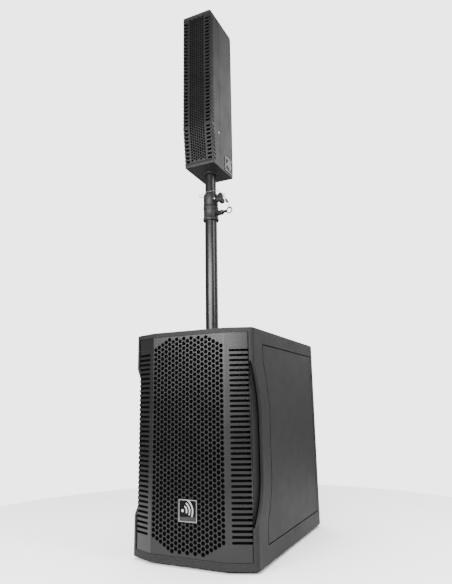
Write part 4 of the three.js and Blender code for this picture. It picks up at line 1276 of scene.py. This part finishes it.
def input_socket():
    """A socket with three contact holes round a middle jack, and a latch above them."""
    at, face = panel_place("input_socket")
    profile = SHELL + [(11.4, 2.4), (11, 2.1), (10.4, 0.9), (10, 1.2), (0, 1.2)]
    cutters = [rod(1.5, -11, 4, spot, BACK, 20) for spot in ring_of(at, 6.4, CONTACTS_DEG)]
    cutters.append(rod(3.2, -16, 4, at, BACK, 32))
    spun("input_socket", profile, 64, at=at, cutters=cutters, suffix="_moulded")
    latch = face.slab("latch", rounded_rectangle(3.2, 1.5, 0.6, 3, (0, 12.6)), 2.2, 3.3)
    bevel(piece("input_socket_latch", latch, "subwoofer", ZINC), 0.25)


def link_socket():
    """A socket with three pins in a round cup."""
    at, _ = panel_place("link_socket")
    profile = SHELL + [(10.4, 2.4), (10, 2.0), (10, -11.6), (9.6, -12), (0, -12)]
    spun("link_socket", profile, 64, at=at, suffix="_moulded")
    pin = [(0, -12.2), (1.2, -12.2), (1.2, -1.4), (0.8, -0.6), (0, -0.4)]
    spots = ring_of(at, 5, [deg + 180 for deg in CONTACTS_DEG])
    pins = [turned("pin", pin, spot, BACK, 16) for spot in spots]
    on_sub("link_socket_pins", pins, CONTACT)


def twist_socket(node, y, body):
    """A round lead socket: a ring slot for the plug and two notches for its lugs."""
    at, face = panel_place(node, y)
    profile = SHELL + [(11.2, 2.4), (10.8, 2.0), (10.8, -10), (8.4, -10), (8.4, 0.6), (8, 1.2), (0, 1.2)]
    cutters = [rod(1.7, -9, 4, at, BACK, 24)]
    cutters += [face.bar("lug", (side * 7.6, -1.6), (side * 12.4, 1.6), -9, 4) for side in (1, -1)]
    spun(node, profile, 64, at=at, cutters=cutters, suffix="_moulded")
    piece(node + "_mark", face.bar("tick", (-0.5, 16.2), (0.5, 18.4), 0.02, 0.14), body, MARKING)


def mains_inlet():
    """An inlet with three blades in a recess, held by two screws."""
    _, face = panel_place("mains_inlet")
    flange = face.slab("flange", rounded_rectangle(27, 17, 3), 0.3, 2.2)
    body = face.slab("body", rounded_rectangle(24, 14, 1), -18, 1)
    recess = face.slab("recess", rounded_rectangle(12.5, 8.5, 1.5), -13, 3)
    seats = [rod(3.1, 1.1, 5, face.at(side * 20, 0, 0), BACK, 24) for side in (1, -1)]
    mesh = carved(carved(flange, [body], "UNION"), [recess, *seats])
    bevel(stand_in("mains_inlet", "_moulded", mesh), 0.35, 2, 40)
    blades = []
    for spot in ((-7, -1.5), (7, -1.5), (0, 2.5)):
        blades.append(face.slab("blade", rounded_rectangle(1.0, 2.0, 0.4, 2, spot), -13.2, -1.5))
    on_sub("mains_inlet_blades", blades, CONTACT)
    screws = [screw_mesh(face.at(side * 20, 0, 1.1), BACK, 2.9, 1.3) for side in (1, -1)]
    on_sub("mains_inlet_screws", screws, ZINC)


def level_knob(node):
    """A fluted knob with a white pointer."""
    at, face = panel_place(node)
    fluted = [polar(1 + 0.03 * math.cos(20 * a), a) for a in whole_turn(120)]
    grip = [(8.6, 0.8), (8.7, 1.4), (8.5, 3), (7.9, 5.4), (7.2, 8), (6.9, 8.7), (6.2, 9.0)]
    skirt = [(0, 0.8), (8.9, 0.8), (9, 1.1), (8.9, 1.5), (8.6, 1.7), (0, 1.7)]
    parts = [loft("grip", fluted, grip, at, BACK), rod(3, -12, 1, at, BACK, 32)]
    parts.append(turned("skirt", skirt, at, BACK, 64))
    stand_in(node, "_moulded", joined(node, parts), sharp=50)
    pointer = [face.bar("bar", (-0.5, 1.5), (0.5, 6.4), 9.02, 9.2)]
    pointer.append(face.bar("foot", (-0.5, 7.9), (0.5, 8.85), 1.72, 2.2))
    detail(node, "_pointer", joined("pointer", pointer), MARKING)


TICKS = {"from_deg": -140, "step_deg": 28, "count": 11, "at": 11.4, "long": 2.4, "short": 1.5}
LINE_WIDTH = 0.5
MARK_FRAMES = ((106, 166, 251), (106, 258, 318))


def tick(face, number):
    """One of the lines round a level knob. The first, the middle and the last are longer."""
    a = math.radians(TICKS["from_deg"] + TICKS["step_deg"] * number)
    length = TICKS["short"] if number % 5 else TICKS["long"]
    half, end = LINE_WIDTH / 2, TICKS["at"] + length
    outline = []
    for reach, across in ((TICKS["at"], -half), (TICKS["at"], half), (end, half), (end, -half)):
        outline.append(
            (math.sin(a) * reach + math.cos(a) * across, math.cos(a) * reach - math.sin(a) * across)
        )
    return face.slab("tick", outline, 0.02, 0.12)


def panel_marks():
    """Lines round the level knobs and round both groups of controls, and screws along the edges."""
    marks = []
    for node in ("sub_level_knob", "column_level_knob"):
        face = panel_place(node)[1]
        marks += [tick(face, number) for number in range(TICKS["count"])]
    plain = Face((0, PANEL_FACE, 0), **PANEL_TURN)
    half = LINE_WIDTH / 2
    for u, low, high in MARK_FRAMES:
        for v in (low, high):
            marks.append(plain.bar("line", (-u, v - half), (u, v + half), 0.02, 0.1))
        for side in (-u, u):
            marks.append(plain.bar("line", (side - half, low), (side + half, high), 0.02, 0.1))
    on_sub("panel_marks", marks, MARKING)
    lo, hi = box_mm("amp_panel")
    screws = []
    for z in (lo.z + 8, (lo.z * 2 + hi.z) / 3, (lo.z + hi.z * 2) / 3, hi.z - 8):
        for x in (lo.x + 5.5, hi.x - 5.5):
            screws.append(screw_mesh((x, PANEL_FACE + 0.02, z), BACK, 3.4, 1.8))
    on_sub("panel_screws", screws, ZINC)


def rocker_mark():
    face = panel_place("power_rocker")[1]
    bar = face.bar("bar", (-0.4, 4.6), (0.4, 7.8), 1.95, 2.1)
    piece("power_rocker_mark", bar, NODES["power_rocker"]["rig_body"], MARKING)


def lamp():
    at, _ = panel_place("power_lamp")
    profile = [(0, -8), (2.5, -8), (2.5, 0.8)] + arc((0, 0.8), 2.5, 0, 90, 8)[1:-1] + [(0, 2.8)]
    spun("power_lamp", profile, 48, at=at, suffix="_domed")
    bezel = [(2.7, 0.02), (4.4, 0.02), (4.6, 0.3), (4.3, 0.9), (3.4, 1.3), (2.8, 1.2)]
    piece("power_lamp_bezel", turned("bezel", bezel, at, BACK, 40, True), "subwoofer", PLASTIC)


def connector_plate_screws():
    lo, hi = box_mm("column_connector_plate")
    body = NODES["column_connector_plate"]["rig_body"]
    screws = []
    for x in (lo.x + 6, hi.x - 6):
        for z in (lo.z + 6, hi.z - 6):
            screws.append(screw_mesh((x, hi.y + 0.02, z), BACK, 2.9, 1.5))
    piece("connector_plate_screws", joined("plate_screws", screws), body, ZINC)


input_socket()
link_socket()
twist_socket("column_output_socket", PANEL_FACE, "subwoofer")
twist_socket(
    "column_input_socket", box_mm("column_connector_plate")[1].y, NODES["column_input_socket"]["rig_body"]
)
mains_inlet()
level_knob("sub_level_knob")
level_knob("column_level_knob")
panel_marks()
rocker_mark()
lamp()
connector_plate_screws()

# ---------- inside the amplifier ----------


CAPACITORS = ((70, 195, 11, 26), (44, 195, 11, 26), (70, 225, 8, 20), (-80, 300, 9, 22))
CHIPS = ((-20, 205, 12, 12, 3), (10, 240, 16, 8, 3), (-55, 240, 9, 20, 12), (-55, 200, 8, 14, 5))


def board_parts():
    """Capacitors and blocks on the board's rear."""
    rear = box_mm("amp_board")[1].y + 0.05
    cans = []
    for x, z, radius, tall in CAPACITORS:
        can = [(0, 0), (radius - 0.6, 0), (radius, 0.8), (radius, 2), (radius - 0.7, 2.6), (radius, 3.2)]
        can += [(radius, tall - 1), (radius - 0.8, tall), (0, tall)]
        cans.append(turned("can", can, (x, rear, z), BACK, 32))
    on_sub("board_capacitors", cans, CAPACITOR)
    chips = []
    for x, z, wide, high, tall in CHIPS:
        chips.append(plain_box("chip", (x - wide, rear, z - high), (x + wide, rear + tall, z + high)))
    bevel(on_sub("board_chips", chips, PLASTIC), 0.5)


def toroid():
    """A ring-shaped transformer with its taped windings, a clamp plate and its bolt."""
    lo, hi = box_mm("mains_transformer")
    mid = (lo + hi) / 2
    at = (mid.x, lo.y, mid.z)
    depth = hi.y - lo.y
    profile = arc((44, 6), 6, -90, 0, 6) + arc((44, depth - 6), 6, 0, 90, 6)
    profile += arc((24, depth - 4), 4, 90, 180, 5) + arc((24, 4), 4, 180, 270, 5)
    spun("mains_transformer", profile, 120, True, at=at, suffix="_wound")
    plate = [(0, -2.4), (26, -2.4), (28, -0.6), (30, -0.2), (30, 0.6), (27, 0.4), (24, -1.2), (0, -1.2)]
    plate = above(depth, plate)
    piece("transformer_clamp", turned("clamp", plate, at, BACK, 72), "subwoofer", ZINC)
    bolt = screw_mesh((mid.x, lo.y + depth - 1.2, mid.z), BACK, 5, 3, 6, 0.5)
    piece("transformer_bolt", bolt, "subwoofer", ZINC)


board_parts()
toroid()

# ---------- floor and light ----------


ROOM_LIGHT = 0.3
BACKDROP_LIGHT = 3.6
FLOOR_RADIUS = 1.15
FLOOR_PAPER = (0.86, 0.86, 0.86)
FLOOR_LIGHT = {"strength": 6.6, "spread": 60, "from": (-0.12, 0.16, 1.0)}
LIGHTS = (
    ("front", (-0.1, -2.4, 1.15), (0.0, -0.28, 0.65), (2.2, 0.6), 185),
    ("front_top", (0.1, -0.9, 1.0), (0.0, -0.28, 0.6), (0.8, 0.12), 7),
    ("right", (2.1, -0.5, 1.6), (0.18, 0.0, 0.6), (0.6, 1.2), 60),
    ("right_rear", (1.5, 2.4, 2.0), (0.1, 0.0, 0.9), (1.4, 2.8), 55)
)


def shining(name, data, towards, axis):
    """A lamp's object, turned so that its axis runs along a direction."""
    made = added(name, data)
    made.rotation_mode = "QUATERNION"
    made.rotation_quaternion = Vector(towards).to_track_quat(axis, "Y")
    return made


def make_floor():
    mesh = bpy.data.meshes.new("floor")
    work = bmesh.new()
    bmesh.ops.create_circle(work, cap_ends=True, radius=FLOOR_RADIUS, segments=96)
    work.to_mesh(mesh)
    work.free()
    look = material(
        "floor_paper", FLOOR_PAPER, 0.7, grain=3, bump=0.02, relief=0.05, tone=0.01, rough_spread=0.02
    )
    mesh.materials.append(look)
    added("floor", mesh)


def make_light():
    """A bright backdrop with a weaker room light, and the lamps."""
    world = bpy.data.worlds.new("studio")
    bpy.context.scene.world = world
    world.use_nodes = True
    tree = world.node_tree
    path = tree.nodes.new("ShaderNodeLightPath").outputs["Is Camera Ray"]
    level = tree.nodes.new("ShaderNodeMapRange")
    wired(tree, level, {"To Min": ROOM_LIGHT, "To Max": BACKDROP_LIGHT, "Value": path})
    strength = level.outputs["Result"]
    wired(tree, tree.nodes["Background"], {"Strength": strength, "Color": (1, 1, 1, 1)})
    sun = bpy.data.lights.new("floor_light", "SUN")
    sun.energy = FLOOR_LIGHT["strength"]
    sun.angle = math.radians(FLOOR_LIGHT["spread"])
    shining("floor_light", sun, FLOOR_LIGHT["from"], "Z")
    for name, at, aim_at, size, power in LIGHTS:
        data = bpy.data.lights.new(name, "AREA")
        data.shape = "RECTANGLE"
        data.size, data.size_y = size
        data.energy = power
        shining(name, data, Vector(aim_at) - Vector(at), "-Z").location = at


make_floor()
make_light()
